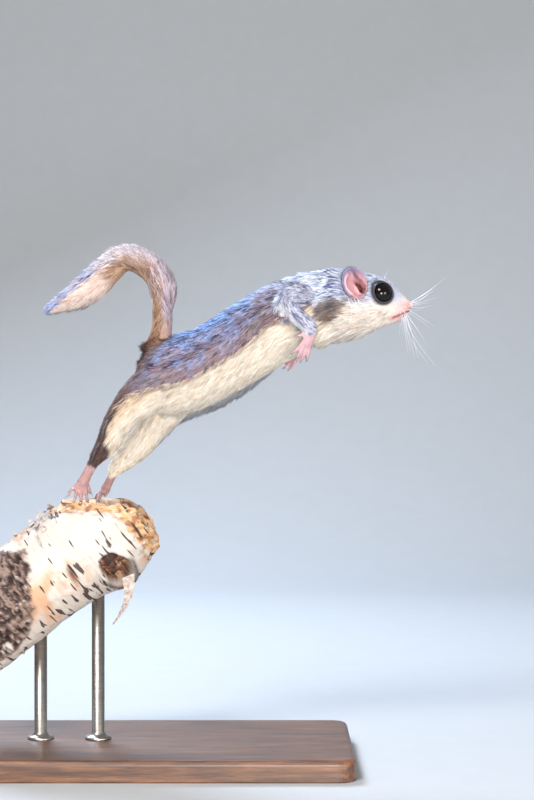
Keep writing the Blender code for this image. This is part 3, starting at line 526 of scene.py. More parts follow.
softness = np.where(is_part(*PAWS), 0.0, 0.5)
softness = np.where(is_part("head"), 0.5 * ease(-x, -100, -92), softness)[:, None]
hide.write(hide.relaxed(hide.points, 14, softness))
hide.write(hide.relaxed(hide.points, 2, np.maximum(softness, 0.3)))
x, y, z = hide.points.T
let_in = np.array([LET_IN[name] for name in FLESH])[owner]
head_depth = HEAD_DEPTH[0] + (HEAD_DEPTH[1] - HEAD_DEPTH[0]) * ease(-x, -113, -86)
eye_gap = np.linalg.norm(hide.points - mirrored(EYE), axis=1)
let_in = np.where(is_part("head"), head_depth * ease(eye_gap, 5.5, 10.0), let_in)
skin_tree = BVHTree.FromPolygons([tuple(p) for p in hide.points],
                                 [tuple(f.vertices) for f in skin_mesh.polygons])
thickness = np.array([skin_tree.ray_cast(Vector(p - n * 0.05), Vector(-n), 60.0)[3] or 60.0
                      for p, n in zip(hide.points, hide.normals)])
let_in = np.minimum(let_in, DEEPEST_SHARE * thickness)
let_in = hide.relaxed(let_in[:, None], 12)
hide.write(hide.points - hide.normals * let_in)
hide.write(hide.relaxed(hide.points, 2, np.maximum(softness * 0.8, 0.12)))
x, y, z = hide.points.T
eye_gap = np.linalg.norm(hide.points - mirrored(EYE), axis=1)

# The lie of the coat and its markings, worked out once over the skin and shared by the skin's
# colour and by every tuft that grows from it.
# Pairs of colours, at a hair's root and at its tip.
# The back's grey-brown coat painted navy at the root and sky blue at the tip: painted blue rim light.
BACK_PAINTED_BLUE_LIGHT = (paint(6, 26, 92), paint(134, 176, 244))
# The shoulders and nape: a painted blue-white highlight where the rim light falls on them.
SHOULDER_PAINTED_HIGHLIGHT = (paint(24, 44, 106), paint(228, 238, 254))
FLANK = (paint(28, 14, 18), paint(136, 106, 118))
# The rump: the coat's own brown, darkened as painted shade over the rump's rear.
RUMP = (paint(38, 22, 18), paint(112, 82, 74))
BELLY = (paint(200, 178, 156), paint(246, 238, 224))
# The far fold's rim: painted blue-white rim light.
FAR_RIM_PAINTED_LIGHT = (paint(168, 176, 212), paint(240, 244, 254))
TAN = (paint(150, 108, 76), paint(222, 192, 158))
# The crown: grey fur tinted with painted blue light.
CROWN = (paint(98, 106, 142), paint(216, 221, 236))
CHEEK = (paint(190, 172, 160), paint(236, 229, 221))
MUZZLE = (paint(186, 132, 132), paint(214, 180, 178))
NECK_PATCH = (paint(28, 18, 15), paint(104, 68, 48))
EYE_SHADE = (paint(12, 8, 12), paint(28, 22, 32))
# The forelegs: grey fur tinted lavender with painted blue light.
ARM = (paint(70, 74, 116), paint(212, 215, 234))
WHITE = (paint(190, 186, 200), paint(244, 246, 252))
HANDS = (paint(164, 120, 126), paint(194, 162, 170))
FEET = (paint(128, 84, 84), paint(176, 140, 134))
TAIL_ROOT = (paint(58, 30, 22), paint(128, 80, 58))
TAIL_RUST = (paint(112, 78, 60), paint(206, 168, 138))
TAIL_GREY = (paint(112, 94, 108), paint(204, 190, 202))
# A painted highlight over the tail's bend, and painted blue light along its upper edge beyond.
TAIL_PAINTED_HIGHLIGHT = (paint(150, 140, 158), paint(232, 226, 236))
TAIL_PAINTED_BLUE_LIGHT = (paint(78, 88, 138), paint(176, 190, 230))
TAIL_CREAM = (paint(196, 160, 148), paint(246, 226, 216))
LIP = paint(190, 126, 128)
# The mouth's seam: painted shade in the crease where the lips meet.
MOUTH_DARK = paint(112, 52, 54)
WHISKER_ROW = paint(136, 58, 66)
WHISKER_ROW_STEP = 1.7
MOUTH = np.array([(117.6, 0, 211.2), (114.0, 0, 209.7), (111.0, 0, 208.4), (108.9, 0, 207.5)])
# Heights over which the pale throat and cheek turn to the nape's painted blue-white highlight and to the
# crown's grey with its painted blue tint.
NECK_LINE = (205.5, 211.5)
CROWN_LINE = (211.5, 217.5)
NECK_PATCH_PLACE = (82.5, 0, 211.8)
NECK_PATCH_REACH = (7.5, 1, 5.0)
# Where the dark rear of the near hind leg ends: x at rising heights.
DARK_LEG_EDGE = ((-21.0, 136.0), (-21.2, 145.0), (-22.9, 152.6), (-21.3, 160.0), (-15.6, 168.0),
                 (-12.0, 175.0))


def above_fold(points):
    """Height over the fold of gliding skin, which parts the dark back from the pale belly."""
    result = np.zeros(len(points))
    for side in (-1, 1):
        root = curve_through(GLIDE_ROOT[side], 80)[::-1]
        rim = curve_through(GLIDE_EDGE[side], 80)[::-1]
        root_height = np.interp(points[:, 0], root[:, 0], root[:, 2])
        rim_height = np.interp(points[:, 0], rim[:, 0], rim[:, 2])
        rim_out = np.interp(points[:, 0], rim[:, 0], np.abs(rim[:, 1]))
        share = np.clip((np.abs(points[:, 1]) - 10) / (rim_out - 10), 0, 1.2)
        here = points[:, 2] - root_height - (rim_height - root_height) * share
        result = np.where(points[:, 1] * side > 0, here, result)
    return result


def lie_of_coat():
    """The way the hair points, part by part, evened out over the hide."""
    lie = np.zeros_like(hide.points)
    for name, line in HAIR_LINES.items():
        part = is_part(name)
        path = curve_through(line, 24)
        ahead = unit(np.gradient(path, axis=0))
        lie[part] = ahead[nearest_rows(path, hide.points[part])]
    part = is_part("torso", "neck")
    sink = -0.22 * ease(np.abs(y), 2, 10) - 1.3 * ease(-x, 2, 10) * ease(-z, -190, -182)
    lie[part, 2] += sink[part]
    part = is_part("head")
    lie[part] = unit(hide.points[part] - NOSE) + np.array((-0.6, 0, -0.05))
    for side, name in ((-1, "patagium_right"), (1, "patagium_left")):
        part = is_part(name)
        root = curve_through(GLIDE_ROOT[side], 60)
        rim = curve_through(GLIDE_EDGE[side], 60)
        k = nearest_rows((root + rim) / 2, hide.points[part])
        lie[part] = unit(np.gradient(rim, axis=0))[k] + 0.55 * unit(rim - root)[k]
    part = is_part("tail")
    k = nearest_rows(tail_place, hide.points[part])
    offset = hide.points[part] - tail_place[k]
    sideways = (offset * tail_across[k]).sum(1) / (tail_width[k] * TAIL_CORE_SHARE)
    lie[part] = tail_along[k] + tail_across[k] * (sideways * 0.75)[:, None]
    lie = hide.relaxed(unit(lie), 14)
    lie -= hide.normals * (lie * hide.normals).sum(1, keepdims=True)
    return unit(lie)


def blend(under, share, over):
    """Mixes a pair of root and tip colours into the pairs so far, by a share at each point."""
    return [u + (np.array(o) - u) * share[:, None] for u, o in zip(under, over)]


def spread(pair):
    """One pair of colours at every point of the hide."""
    return [np.tile(colour, (len(x), 1)) for colour in pair]


def dark_share(height, patchy):
    """Where the coat is dark: over the fold, on its upper face and up the near leg's rear."""
    _, ny, nz = hide.normals.T
    dark = ease(height, -0.35, 0.35)
    dark = np.where(is_part("patagium_right", "patagium_left"), ease(nz, 0.02, 0.10), dark)
    dark = np.where(is_part("hindleg_left"), dark * ease(ny, -0.1, 0.4), dark)
    leg_edge = np.interp(z, [b for _, b in DARK_LEG_EDGE], [a for a, _ in DARK_LEG_EDGE])
    leg_rear = ease(leg_edge - x + patchy, -0.8, 0.8) * (y < 0) * (x < -5)
    near = is_part("hindleg_right", "patagium_right", "torso")
    return np.where(near, np.maximum(dark, leg_rear), dark)


def trunk_marks():
    """The belly with its tan edge, the far fold's rim in painted blue-white rim light, the flank, the back
    and shoulder in painted blue light, and the rump, darkened with painted shade.
    """
    height = above_fold(hide.points)
    patchy = grained(hide.points, 5.0)
    # The far fold's rim is painted blue-white, as the rim light that catches it.
    belly = blend(spread(BELLY), is_part("patagium_left") * ease(y, 11, 19), FAR_RIM_PAINTED_LIGHT)
    tan = ease(-np.abs(height + 2.5), -5.0, 0.0) * 0.7 * (y < 4)
    belly = blend(belly, tan * ~is_part("hindleg_left"), TAN)
    up = height + 2.5 * patchy
    # Higher up the flank, the coat turns to the back's painted blue rim light.
    back = blend(spread(FLANK), ease(up, 2.0, 11.0) * ease(x, -16, 4), BACK_PAINTED_BLUE_LIGHT)
    # The rump's rear turns to its own brown, darkened as painted shade.
    back = blend(back, ease(-x, 2, 16), RUMP)
    # A painted blue-white highlight over the top of the shoulders.
    back = blend(back, ease(x, 40, 66) * ease(up, 2.0, 8.0) * 0.75, SHOULDER_PAINTED_HIGHLIGHT)
    from_tail = np.min([np.linalg.norm(hide.points - p, axis=1) for p in tail_place[0:24:4]], axis=0)
    back = blend(back, ease(-from_tail, -19, -9), RUMP)
    dark = dark_share(height, patchy)[:, None]
    return [low + (high - low) * dark for low, high in zip(belly, back)]


def head_marks(pair):
    """Neck, cheek, crown, muzzle, the dark skin round the eye and the patch behind the ear, with painted
    blue light on the nape and crown.
    """
    part = is_part("neck") * 1.0
    pair = blend(pair, part, BELLY)
    # The top of the neck takes the shoulders' painted blue-white highlight.
    pair = blend(pair, part * ease(z, *NECK_LINE), SHOULDER_PAINTED_HIGHLIGHT)
    part = is_part("head") * 1.0
    pair = blend(pair, part, CHEEK)
    # The crown's grey, with its painted blue tint.
    pair = blend(pair, part * ease(z, *CROWN_LINE) * ease(-x, -119, -110), CROWN)
    pair = blend(pair, part * ease(x, 109, 114) * ease(-z, -216.5, -213.5) * 0.85, MUZZLE)
    pair = blend(pair, part * ease(-eye_gap, -6.7, -6.0) * 0.95, EYE_SHADE)
    ring = (hide.points * (1, 0, 1) - NECK_PATCH_PLACE) / NECK_PATCH_REACH
    ring = np.linalg.norm(ring, axis=1)
    ring = ring + 0.25 * grained(hide.points, 3.0)
    patch = ease(-ring, -1.25, -0.8) * ease(np.abs(y), 6, 9)
    return blend(pair, patch * is_part("neck", "head", "torso") * 0.9, NECK_PATCH)


def limb_marks(pair):
    """The forelegs, grey with a painted blue tint and white along their rear edge, and the paws."""
    nx, _, nz = hide.normals.T
    part = is_part("foreleg_right", "foreleg_left") * 1.0
    pair = blend(pair, part, ARM)
    pair = blend(pair, part * ease(-0.8 * nx - 0.5 * nz, 0.2, 0.55) * ease(-z, -216.5, -213), WHITE)
    pair = blend(pair, is_part("hand_right", "hand_left") * 1.0, HANDS)
    return blend(pair, is_part("foot_right", "foot_left") * 1.0, FEET)


def tail_marks():
    """The tail, brown at its root, grey along its back with a painted pale highlight over its bend, and
    cream to its tip with painted blue light along one edge.
    """
    k = nearest_rows(tail_place, hide.points)
    share = k / (TAIL_SAMPLES - 1)
    offset = hide.points - tail_place[k]
    over = (offset * tail_back[k]).sum(1) / TAIL_CORE_DEPTH
    sideways = (offset * tail_across[k]).sum(1) / (tail_width[k] * TAIL_CORE_SHARE)
    tail = spread(TAIL_RUST)
    tail = blend(tail, ease(over, -0.2, 0.6) * ease(share, 0.10, 0.22), TAIL_GREY)
    # A painted highlight over the top of the tail's bend.
    tail = blend(tail, ease(share, 0.36, 0.50) * ease(over, -0.9, 0.1), TAIL_PAINTED_HIGHLIGHT)
    tail = blend(tail, ease(share, 0.56, 0.66), TAIL_CREAM)
    # Painted blue light along the upper edge of the tail's drooping end.
    tail = blend(tail, ease(share, 0.54, 0.64) * ease(sideways + over, 0.2, 0.8), TAIL_PAINTED_BLUE_LIGHT)
    return blend(tail, ease(-share, -0.16, -0.06), TAIL_ROOT)


def markings():
    """The hair's colours at root and tip over the whole hide."""
    body = limb_marks(head_marks(trunk_marks()))
    part = is_part("tail")[:, None]
    return [hide.relaxed(np.where(part, tail, rest), 2) for tail, rest in zip(tail_marks(), body)]


lie = lie_of_coat()
root_colour, tip_colour = markings()
is_head = is_part("head")
lip_gap = np.min([np.hypot(x - a, z - b) for a, _, b in curve_through(MOUTH, 40)], axis=0)
lips = is_head * ease(-lip_gap, -1.5, -0.5)
for colours in (root_colour, tip_colour):
    colours += (np.array(LIP) - colours) * (lips * 0.8)[:, None]
skin_colour = root_colour * 0.55 + tip_colour * 0.45
rows = 0.5 + 0.5 * np.cos(lip_gap * 2 * math.pi / WHISKER_ROW_STEP)
rows = is_head * rows ** 2 * ease(x, 108.5, 111.0) * ease(-lip_gap, -5.4, -4.2)
rows = rows * ease(z, 208.5, 210.0) * 0.9
for colours in (root_colour, tip_colour):
    colours += (np.array(WHISKER_ROW) - colours) * rows[:, None]
# The seam of the mouth is darkened: painted shade in its crease.
groove = is_head * ease(-lip_gap, -0.42, -0.15)
skin_colour += (np.array(MOUTH_DARK) - skin_colour) * groove[:, None]


def coloured(mesh, name, colours):
    """Writes a colour for each point of a mesh, as an attribute that its material reads."""
    layer = mesh.color_attributes.new(name=name, type="FLOAT_COLOR", domain="POINT")
    full = np.ones((len(colours), 4), np.float32)
    full[:, :3] = colours
    layer.data.foreach_set("color", full.ravel())


skin_finish = Finish("skin_under_fur", 0.62)
spot = skin_finish.place()
fleck = skin_finish.noise(spot, 900.0, 4.0)
skin_paint = skin_finish.attribute("markings")
skin_finish.feed("Base Color", skin_finish.mix(fleck * 0.5, skin_paint, skin_finish.mix(
    0.35, skin_paint, (0.50, 0.38, 0.38), "MULTIPLY")))
skin_finish.feed("Roughness", 0.42 + 0.3 * fleck)
creases = skin_finish.add("ShaderNodeTexVoronoi", {"feature": "DISTANCE_TO_EDGE"},
                          {"Vector": spot, "Scale": 1400.0})
skin_finish.bump(skin_finish.step(creases, 0.0, 0.25) * 0.5 + fleck * 0.5, 0.00012, 0.6)

coloured(skin_mesh, "markings", skin_colour)
skin = bpy.data.objects.new("skin", skin_mesh)
bpy.context.scene.collection.objects.link(skin)
skin_mesh.polygons.foreach_set("use_smooth", np.ones(len(skin_mesh.polygons), bool))
skin_mesh.materials.clear()
skin_mesh.materials.append(skin_finish.material)
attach(skin, "root")
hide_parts(*[n for n in FLESH if n != "tail"], "tail_base", "tail_middle", "tail_tip")

# The coat: over two hundred thousand thin closed tufts rooted in the skin. Each is a tapered
# blade with a ridge that lifts off the skin, bends back along the body and leans to its
# clump, dark at the root and pale at the tip.
UNFOLDED_SHARE = 0.035
SKIN_SHARE = 0.6
# For each part: a tuft's length and width, its lift in degrees, and tufts to the square mm.
COAT = {
    "torso": (7.8, 0.34, 26, 8.0), "neck": (6.0, 0.32, 28, 9.0), "head": (3.0, 0.26, 24, 12.0),
    "foreleg_right": (4.2, 0.28, 24, 11.0), "foreleg_left": (4.2, 0.28, 24, 11.0),
    "hand_right": (1.4, 0.10, 14, 9.0), "hand_left": (1.4, 0.10, 14, 9.0),
    "hindleg_right": (5.4, 0.28, 24, 10.5), "hindleg_left": (5.2, 0.28, 24, 10.5),
    "foot_right": (1.4, 0.10, 14, 9.0), "foot_left": (1.4, 0.10, 14, 9.0),
    "patagium_right": (6.4, 0.30, 22, 9.5), "patagium_left": (6.4, 0.32, 22, 7.5),
    "tail": (8.0, 0.30, 26, 17.0),
}
CLUMP_EVERY = 15
CLUMP_PULL = 0.62
PIECE_LIMIT = 19000
TUFT_SUNK = 0.2
TUFT_BEND_AT = 0.48
TUFT_SETTLE = 0.30
TUFT_WANDER = 0.16
TUFT_CURL = 0.14
SHEET_PATCH = 0.003
BALD_LIP = 0.8
EYE_FACING = (0.40, 0.9, 0.14)
EAR_ROOT = (91.0, 14.0, 223.0)
EAR_ROOT_REACH = (6.2, 5, 6.6)
PAW_DOWN = (paint(176, 150, 156), paint(226, 218, 226))

# A light copy of the skin, unfolded, says where on a flat sheet each tuft has its patch.
unfolded = skin.copy()
unfolded.data = skin_mesh.copy()
bpy.context.scene.collection.objects.link(unfolded)
thin = unfolded.modifiers.new("thin", "DECIMATE")
thin.ratio = UNFOLDED_SHARE
graph = bpy.context.evaluated_depsgraph_get()
unfolded_mesh = bpy.data.meshes.new_from_object(unfolded.evaluated_get(graph))
bpy.data.objects.remove(unfolded)
unfolded = bpy.data.objects.new("unfolded", unfolded_mesh)
bpy.context.scene.collection.objects.link(unfolded)
bpy.context.view_layer.objects.active = unfolded
unfolded.select_set(True)
bpy.ops.object.mode_set(mode="EDIT")
bpy.ops.mesh.select_all(action="SELECT")
bpy.ops.mesh.quads_convert_to_tris()
bpy.ops.uv.smart_project(angle_limit=1.1, island_margin=0.004)
bpy.ops.object.mode_set(mode="OBJECT")
unfolded_points = rows_of(unfolded_mesh.vertices, "co") / MM
unfolded_faces = np.array([tuple(f.vertices) for f in unfolded_mesh.polygons])
unfolded_sheet = rows_of(unfolded_mesh.uv_layers[0].uv, "vector", 2).reshape(-1, 3, 2)
unfolded_tree = BVHTree.FromPolygons([tuple(p) for p in unfolded_points],
                                     [tuple(f) for f in unfolded_faces])
bpy.data.objects.remove(unfolded)


def on_sheet(points):
    """Where places on the body lie on the flat sheet that its skin unfolds to."""
    found = [unfolded_tree.find_nearest(p) for p in points]
    spots = np.array([f[0] for f in found])
    faces = np.array([f[2] for f in found])
    a, b, c = (unfolded_points[unfolded_faces[faces, k]] for k in range(3))
    across = b - a
    up = c - a
    rest = spots - a
    aa = (across * across).sum(1)
    ab = (across * up).sum(1)
    bb = (up * up).sum(1)
    ra = (rest * across).sum(1)
    rb = (rest * up).sum(1)
    scale = np.maximum(aa * bb - ab * ab, 1e-12)
    v = np.clip((bb * ra - ab * rb) / scale, 0, 1)
    w = np.clip((aa * rb - ab * ra) / scale, 0, 1)
    corners = unfolded_sheet[faces]
    return (corners[:, 0] * (1 - v - w)[:, None] + corners[:, 1] * v[:, None]
            + corners[:, 2] * w[:, None])


def tuft_piece(name, rows, finish):
    """One piece of coat, from the rows that tuft_rows gives."""
    base, ridge, end, sideways, upwards, under, over, sheet, normals = rows
    count = len(base)
    points = np.empty((count, 5, 3))
    points[:, 0] = base + sideways / 2
    points[:, 1] = base + upwards * 0.45
    points[:, 2] = base - sideways / 2
    points[:, 3] = ridge + upwards * 0.3
    points[:, 4] = end
    pattern = np.array([(0, 1, 2), (0, 3, 1), (0, 4, 3), (1, 3, 2), (3, 4, 2), (2, 4, 0)])
    faces = (pattern[None] + 5 * np.arange(count)[:, None, None]).reshape(-1, 3)
    mesh = bpy.data.meshes.new(name)
    mesh.vertices.add(count * 5)
    mesh.vertices.foreach_set("co", (points * MM).astype(np.float32).ravel())
    mesh.loops.add(len(faces) * 3)
    mesh.loops.foreach_set("vertex_index", faces.astype(np.int32).ravel())
    mesh.polygons.add(len(faces))
    mesh.polygons.foreach_set("loop_start", np.arange(0, len(faces) * 3, 3, dtype=np.int32))
    mesh.polygons.foreach_set("use_smooth", np.ones(len(faces), bool))
    mesh.update(calc_edges=True)
    aside = unit(sideways) * 0.5
    soft = np.stack([unit(normals + aside), normals, unit(normals - aside), normals, normals], 1)
    mesh.normals_split_custom_set_from_vertices(soft.reshape(-1, 3).astype(np.float32))
    shades = np.empty((count, 5, 3))
    shades[:, :3] = under[:, None]
    shades[:, 3] = under * 0.4 + over * 0.6
    shades[:, 4] = over
    coloured(mesh, "markings", shades.reshape(-1, 3))
    spread = np.array([(-0.5, -0.5), (0, -0.5), (0.5, -0.5), (0, 0), (0, 0.5)])
    patch = np.clip(sheet[:, None] + spread[None] * SHEET_PATCH, 0, 1).reshape(-1, 2)
    layer = mesh.uv_layers.new(name="OFBake")
    layer.uv.foreach_set("vector", patch[faces.ravel()].astype(np.float32).ravel())
    mesh.materials.append(finish.material)
    item = bpy.data.objects.new(name, mesh)
    bpy.context.scene.collection.objects.link(item)
    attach(item, "root")
    return item


def tuft_rows(roots, normals, lies, length, width, lift, under, over, sheet, rough,
              pull=CLUMP_PULL):
    """Tufts that lean to the leader of their clump, as rows of root, ridge, tip, sideways and
    upwards steps, root and tip colours, place on the sheet, and normal."""
    count = len(roots)
    sideways = np.cross(lies, normals)
    wander = rough.normal(0, TUFT_WANDER, (count, 1))
    curl = rough.normal(0, TUFT_CURL, (count, 1))
    rise = np.radians(lift * rough.uniform(0.75, 1.3, count))[:, None]
    settle = rise * TUFT_SETTLE
    first = unit(lies * np.cos(rise) + normals * np.sin(rise) + sideways * wander)
    second = unit(lies * np.cos(settle) + normals * np.sin(settle) + sideways * (wander + curl))
    length = (length * rough.uniform(0.75, 1.2, count))[:, None]
    base = roots - normals * TUFT_SUNK
    middle = base + first * length * TUFT_BEND_AT
    end = middle + second * length * (1 - TUFT_BEND_AT)
    leaders = np.arange(0, count, CLUMP_EVERY)
    chief = leaders[nearest_rows(roots[leaders] + lies[leaders], roots)]
    share = pull * rough.uniform(0.5, 1.2, count)[:, None]
    close = np.linalg.norm(roots[chief] - roots, axis=1, keepdims=True) < length * 0.5
    aside = unit(sideways)
    lean = ((end[chief] - end) * aside).sum(1, keepdims=True) * aside
    end = end + lean * share * close
    middle = middle + lean * share * 0.4 * close
    # Tips near the edges of each clump take the root's colour: the dark underfur showing in the partings,
    # deepened as painted shade between the clumps.
    drift = np.abs(((roots - roots[chief]) * aside).sum(1))
    pale = np.clip(under.mean(1) * 1.4, 0, 1)
    underfur_and_painted_shade = ease(drift / max(np.median(drift), 1e-6), 0.8, 2.1) * (0.95 - 0.3 * pale)
    over = over + (under - over) * underfur_and_painted_shade[:, None]
    tone = rough.normal(1.0, 0.18, count)[chief] * rough.normal(1.0, 0.15, count)
    tone = (1 + (np.clip(tone, 0.45, 1.5) - 1) * (1 - 0.7 * pale))[:, None]
    thick = (width * rough.uniform(0.8, 1.25, count))[:, None]
    upwards = np.cross(sideways, first)
    upwards = upwards * np.sign((upwards * normals).sum(1, keepdims=True))
    ridge = (base + end) / 2 + (middle - (base + end) / 2) * 0.6
    return (base, ridge, end, sideways * thick * 1.2, upwards * thick, under * tone,
            np.minimum(over * tone, 0.95), sheet, normals)


fur = Finish("fur", 0.5, Sheen_Weight=0.12, Sheen_Roughness=0.4, Specular_IOR_Level=0.5)
strand = fur.noise(fur.place(), 1500.0, 2.0)
fur_paint = fur.attribute("markings")
fur.feed("Base Color", fur.mix(strand * 0.4, fur_paint, fur.mix(
    0.5, fur_paint, (0.55, 0.53, 0.55), "MULTIPLY")))
fur.feed("Roughness", 0.34 + 0.25 * strand)

lengths = np.array([COAT[n][0] for n in FLESH])[owner]
widths = np.array([COAT[n][1] for n in FLESH])[owner]
lifts = np.array([COAT[n][2] for n in FLESH], float)[owner]
crowds = np.array([COAT[n][3] for n in FLESH])[owner]
# The face's fur is the shortest: 0.9 mm on the muzzle, 4.5 mm at the nape.
lengths = np.where(is_head, 0.9 + 3.6 * ease(-x, -113, -90), lengths)
widths = np.where(is_head, 0.17 + 0.17 * ease(-x, -113, -90), widths)
crowds = np.where(is_head, 8.0 + 8.0 * ease(x, 90, 112), crowds)
# Flatter over the rump, longer under the throat, short round the eyes and towards the paws.
rump_end = is_part("torso") * ease(-x, 0, 10)
lengths = lengths * (1 - 0.4 * rump_end)
lifts = lifts - 8 * rump_end
throat = is_head * ease(-z, -213, -209) * ease(-x, -110, -100)
lengths = lengths * (1 + 1.1 * throat)
lifts = lifts + 18 * throat
scruff = is_part("neck") * ease(-z, -210, -203)
lengths = lengths * (1 + 0.6 * scruff)
lifts = lifts + 18 * scruff
lengths = lengths * (1 - 0.6 * is_head * ease(-eye_gap, -9.5, -6.0))
ankle = np.maximum(ease(-z, -152, -140) * is_part("hindleg_right"),
                   ease(-z, -148, -136) * is_part("hindleg_left"))
lengths = lengths * (1 - 0.45 * ankle)
wrist = np.maximum(ease(-z, -208, -203) * is_part("foreleg_right"),
                   ease(-z, -201, -196) * is_part("foreleg_left"))
lengths = lengths * (1 - 0.4 * wrist)
# The tail's hair is longest along both its edges and short at its root.
tail_part = is_part("tail")
k = nearest_rows(tail_place, hide.points)
edgewise = np.abs(((hide.points - tail_place[k]) * tail_across[k]).sum(1))
edgewise = ease(edgewise / np.maximum(tail_width[k] * TAIL_CORE_SHARE, 1), 0.4, 1.0)
tail_lengths = (6.5 + 5.0 * edgewise) * np.clip(tail_width[k] / 10, 0.5, 1)
lengths = np.where(tail_part, tail_lengths, lengths)
lifts = np.where(tail_part, 30 - 6 * edgewise, lifts)
tail_root = tail_part * ease(-z, -216, -207)
lengths = lengths * (1 - 0.5 * tail_root)
lifts = lifts * (1 - 0.85 * tail_root)
# Nothing grows on the lids, the lips, the nose's pad or inside the ears.
eye_step = hide.points - mirrored(EYE)
facing_out = (eye_step * unit(mirrored(EYE_FACING))).sum(1) / np.maximum(eye_gap, 1e-6)
bald = is_head * ease(-eye_gap, -6.5, -6.0) * ease(facing_out, 0.30, 0.38)
bald = np.maximum(bald, is_head * ease(-lip_gap, -BALD_LIP - 0.3, -BALD_LIP))
bald = np.maximum(bald, is_head * ease(x, 116.4, 117.2) * ease(z, 212.0, 213.0))
in_ear = np.linalg.norm((hide.points - mirrored(EAR_ROOT)) / EAR_ROOT_REACH, axis=1)
bald = np.maximum(bald, is_head * ease(-in_ear, -1.0, -0.9))
fields = hide.relaxed(np.stack([lengths, widths, lifts], 1), 4)
crowds = crowds * (1 - bald)

# Roots are spread evenly, at each triangle's share of the tufts.
skin_mesh.calc_loop_triangles()
corner = np.empty(len(skin_mesh.loop_triangles) * 3, np.int32)
skin_mesh.loop_triangles.foreach_get("vertices", corner)
corner = corner.reshape(-1, 3)
sides = hide.points[corner]
area = np.linalg.norm(np.cross(sides[:, 1] - sides[:, 0], sides[:, 2] - sides[:, 0]), axis=1) / 2
chance = area * crowds[corner].mean(1)
tuft_count = int(chance.sum())
ladder = np.cumsum(chance)
rungs = (np.arange(tuft_count) + rough.random(tuft_count)) * ladder[-1] / tuft_count
pick = np.searchsorted(ladder, rungs)
pick = np.minimum(pick, len(corner) - 1)
share = rough.dirichlet((1, 1, 1), tuft_count)[:, :, None]


def at_roots(values):
    """Values of the hide's points, taken at the tufts' roots."""
    return (values[corner[pick]] * share).sum(1)


roots = at_roots(hide.points)
root_normals = unit(at_roots(hide.normals))
root_lies = at_roots(lie)
root_lies = unit(root_lies - root_normals * (root_lies * root_normals).sum(1, keepdims=True))
root_fields = at_roots(fields)
root_under = at_roots(root_colour)
root_over = at_roots(tip_colour)
root_sheet = on_sheet(roots)
root_owner = owner[corner[pick, 0]]
on_paws = np.isin(root_owner, [FLESH.index(n) for n in PAWS])
root_under[on_paws] = PAW_DOWN[0]
root_over[on_paws] = PAW_DOWN[1]
COAT_GROUPS = (
    ("coat_back", ("torso",), "back_fur"), ("coat_neck", ("neck",), "back_fur"),
    ("coat_head", ("head",), "face_fur"),
    ("coat_forelegs", ("foreleg_right", "foreleg_left", "hand_right", "hand_left"), "back_fur"),
    ("coat_hindlegs", ("hindleg_right", "hindleg_left", "foot_right", "foot_left"), "belly_fur"),
    ("coat_gliding_skin", ("patagium_right", "patagium_left"), "flank_fur"),
    ("coat_tail", ("tail",), "tail_fur"))
for name, parts, slot in COAT_GROUPS:
    chosen = np.flatnonzero(np.isin(root_owner, [FLESH.index(p) for p in parts]))
    rough.shuffle(chosen)
    made = tuft_rows(roots[chosen], root_normals[chosen], root_lies[chosen], root_fields[chosen, 0],
                     root_fields[chosen, 1], root_fields[chosen, 2], root_under[chosen],
                     root_over[chosen], root_sheet[chosen], rough)
    # The fold's tufts are shaded as if they faced sideways, so both its faces match the flank.
    if name == "coat_gliding_skin":
        to_side = np.sign(made[0][:, 1:2]) * np.array((0, 0.9, 0))
        made = (*made[:-1], unit(made[-1] + to_side))
    along_body = np.argsort(made[0][:, 0])
    pieces = math.ceil(len(chosen) / PIECE_LIMIT)
    for part, order in enumerate(np.array_split(along_body, pieces)):
        label = name if pieces == 1 else "%s_%d" % (name, part + 1)
        tuft_piece(label, [row[order] for row in made], fur)

thinned = skin.modifiers.new("thinned", "DECIMATE")
thinned.ratio = SKIN_SHARE
graph = bpy.context.evaluated_depsgraph_get()
finer = bpy.data.meshes.new_from_object(skin.evaluated_get(graph))
skin.modifiers.clear()
skin.data = finer
finer.polygons.foreach_set("use_smooth", np.ones(len(finer.polygons), bool))

# The fringes: longer hairs along both free edges of the gliding skin, dark on the near side and painted
# blue-white on the far one, as the rim light that catches them where they stand below the belly's outline.
FRINGES = (
    (-1, 1500, 4.4, paint(36, 24, 32), paint(150, 128, 146)),
    # The far fringe's blue-white is painted rim light.
    (1, 3400, 5.6, paint(176, 184, 218), paint(246, 249, 255)),
)
edge_rows = []
for side, count, length, under, over in FRINGES:
    spread = rough.random(count)
    rim = curve_through(GLIDE_EDGE[side], 200)
    root = curve_through(GLIDE_ROOT[side], 200)
    k = (spread * 199).astype(int)
    outward = unit(rim - root)[k]
    ahead = unit(np.gradient(rim, axis=0))[k]
    spots = rim[k] - outward * rough.uniform(0.6, 2.4, (count, 1)) + rough.normal(0, 0.3, (count, 3))
    lies = unit(ahead * rough.uniform(0.5, 0.9, (count, 1)) + outward * 0.55 + np.array((0, 0, -0.25)))
    faces = unit(np.cross(ahead, outward)) * -side
    edge_rows.append((spots, faces, lies, np.full(count, length), np.full(count, 0.30),
                      np.full(count, 10.0), np.tile(under, (count, 1)), np.tile(over, (count, 1))))
merged = [np.concatenate(group) for group in zip(*edge_rows)]
merged[2] = unit(merged[2] - merged[1] * (merged[1] * merged[2]).sum(1, keepdims=True))
fringe = tuft_rows(*merged, on_sheet(merged[0]), rough)
tuft_piece("coat_fringes", fringe, fur)

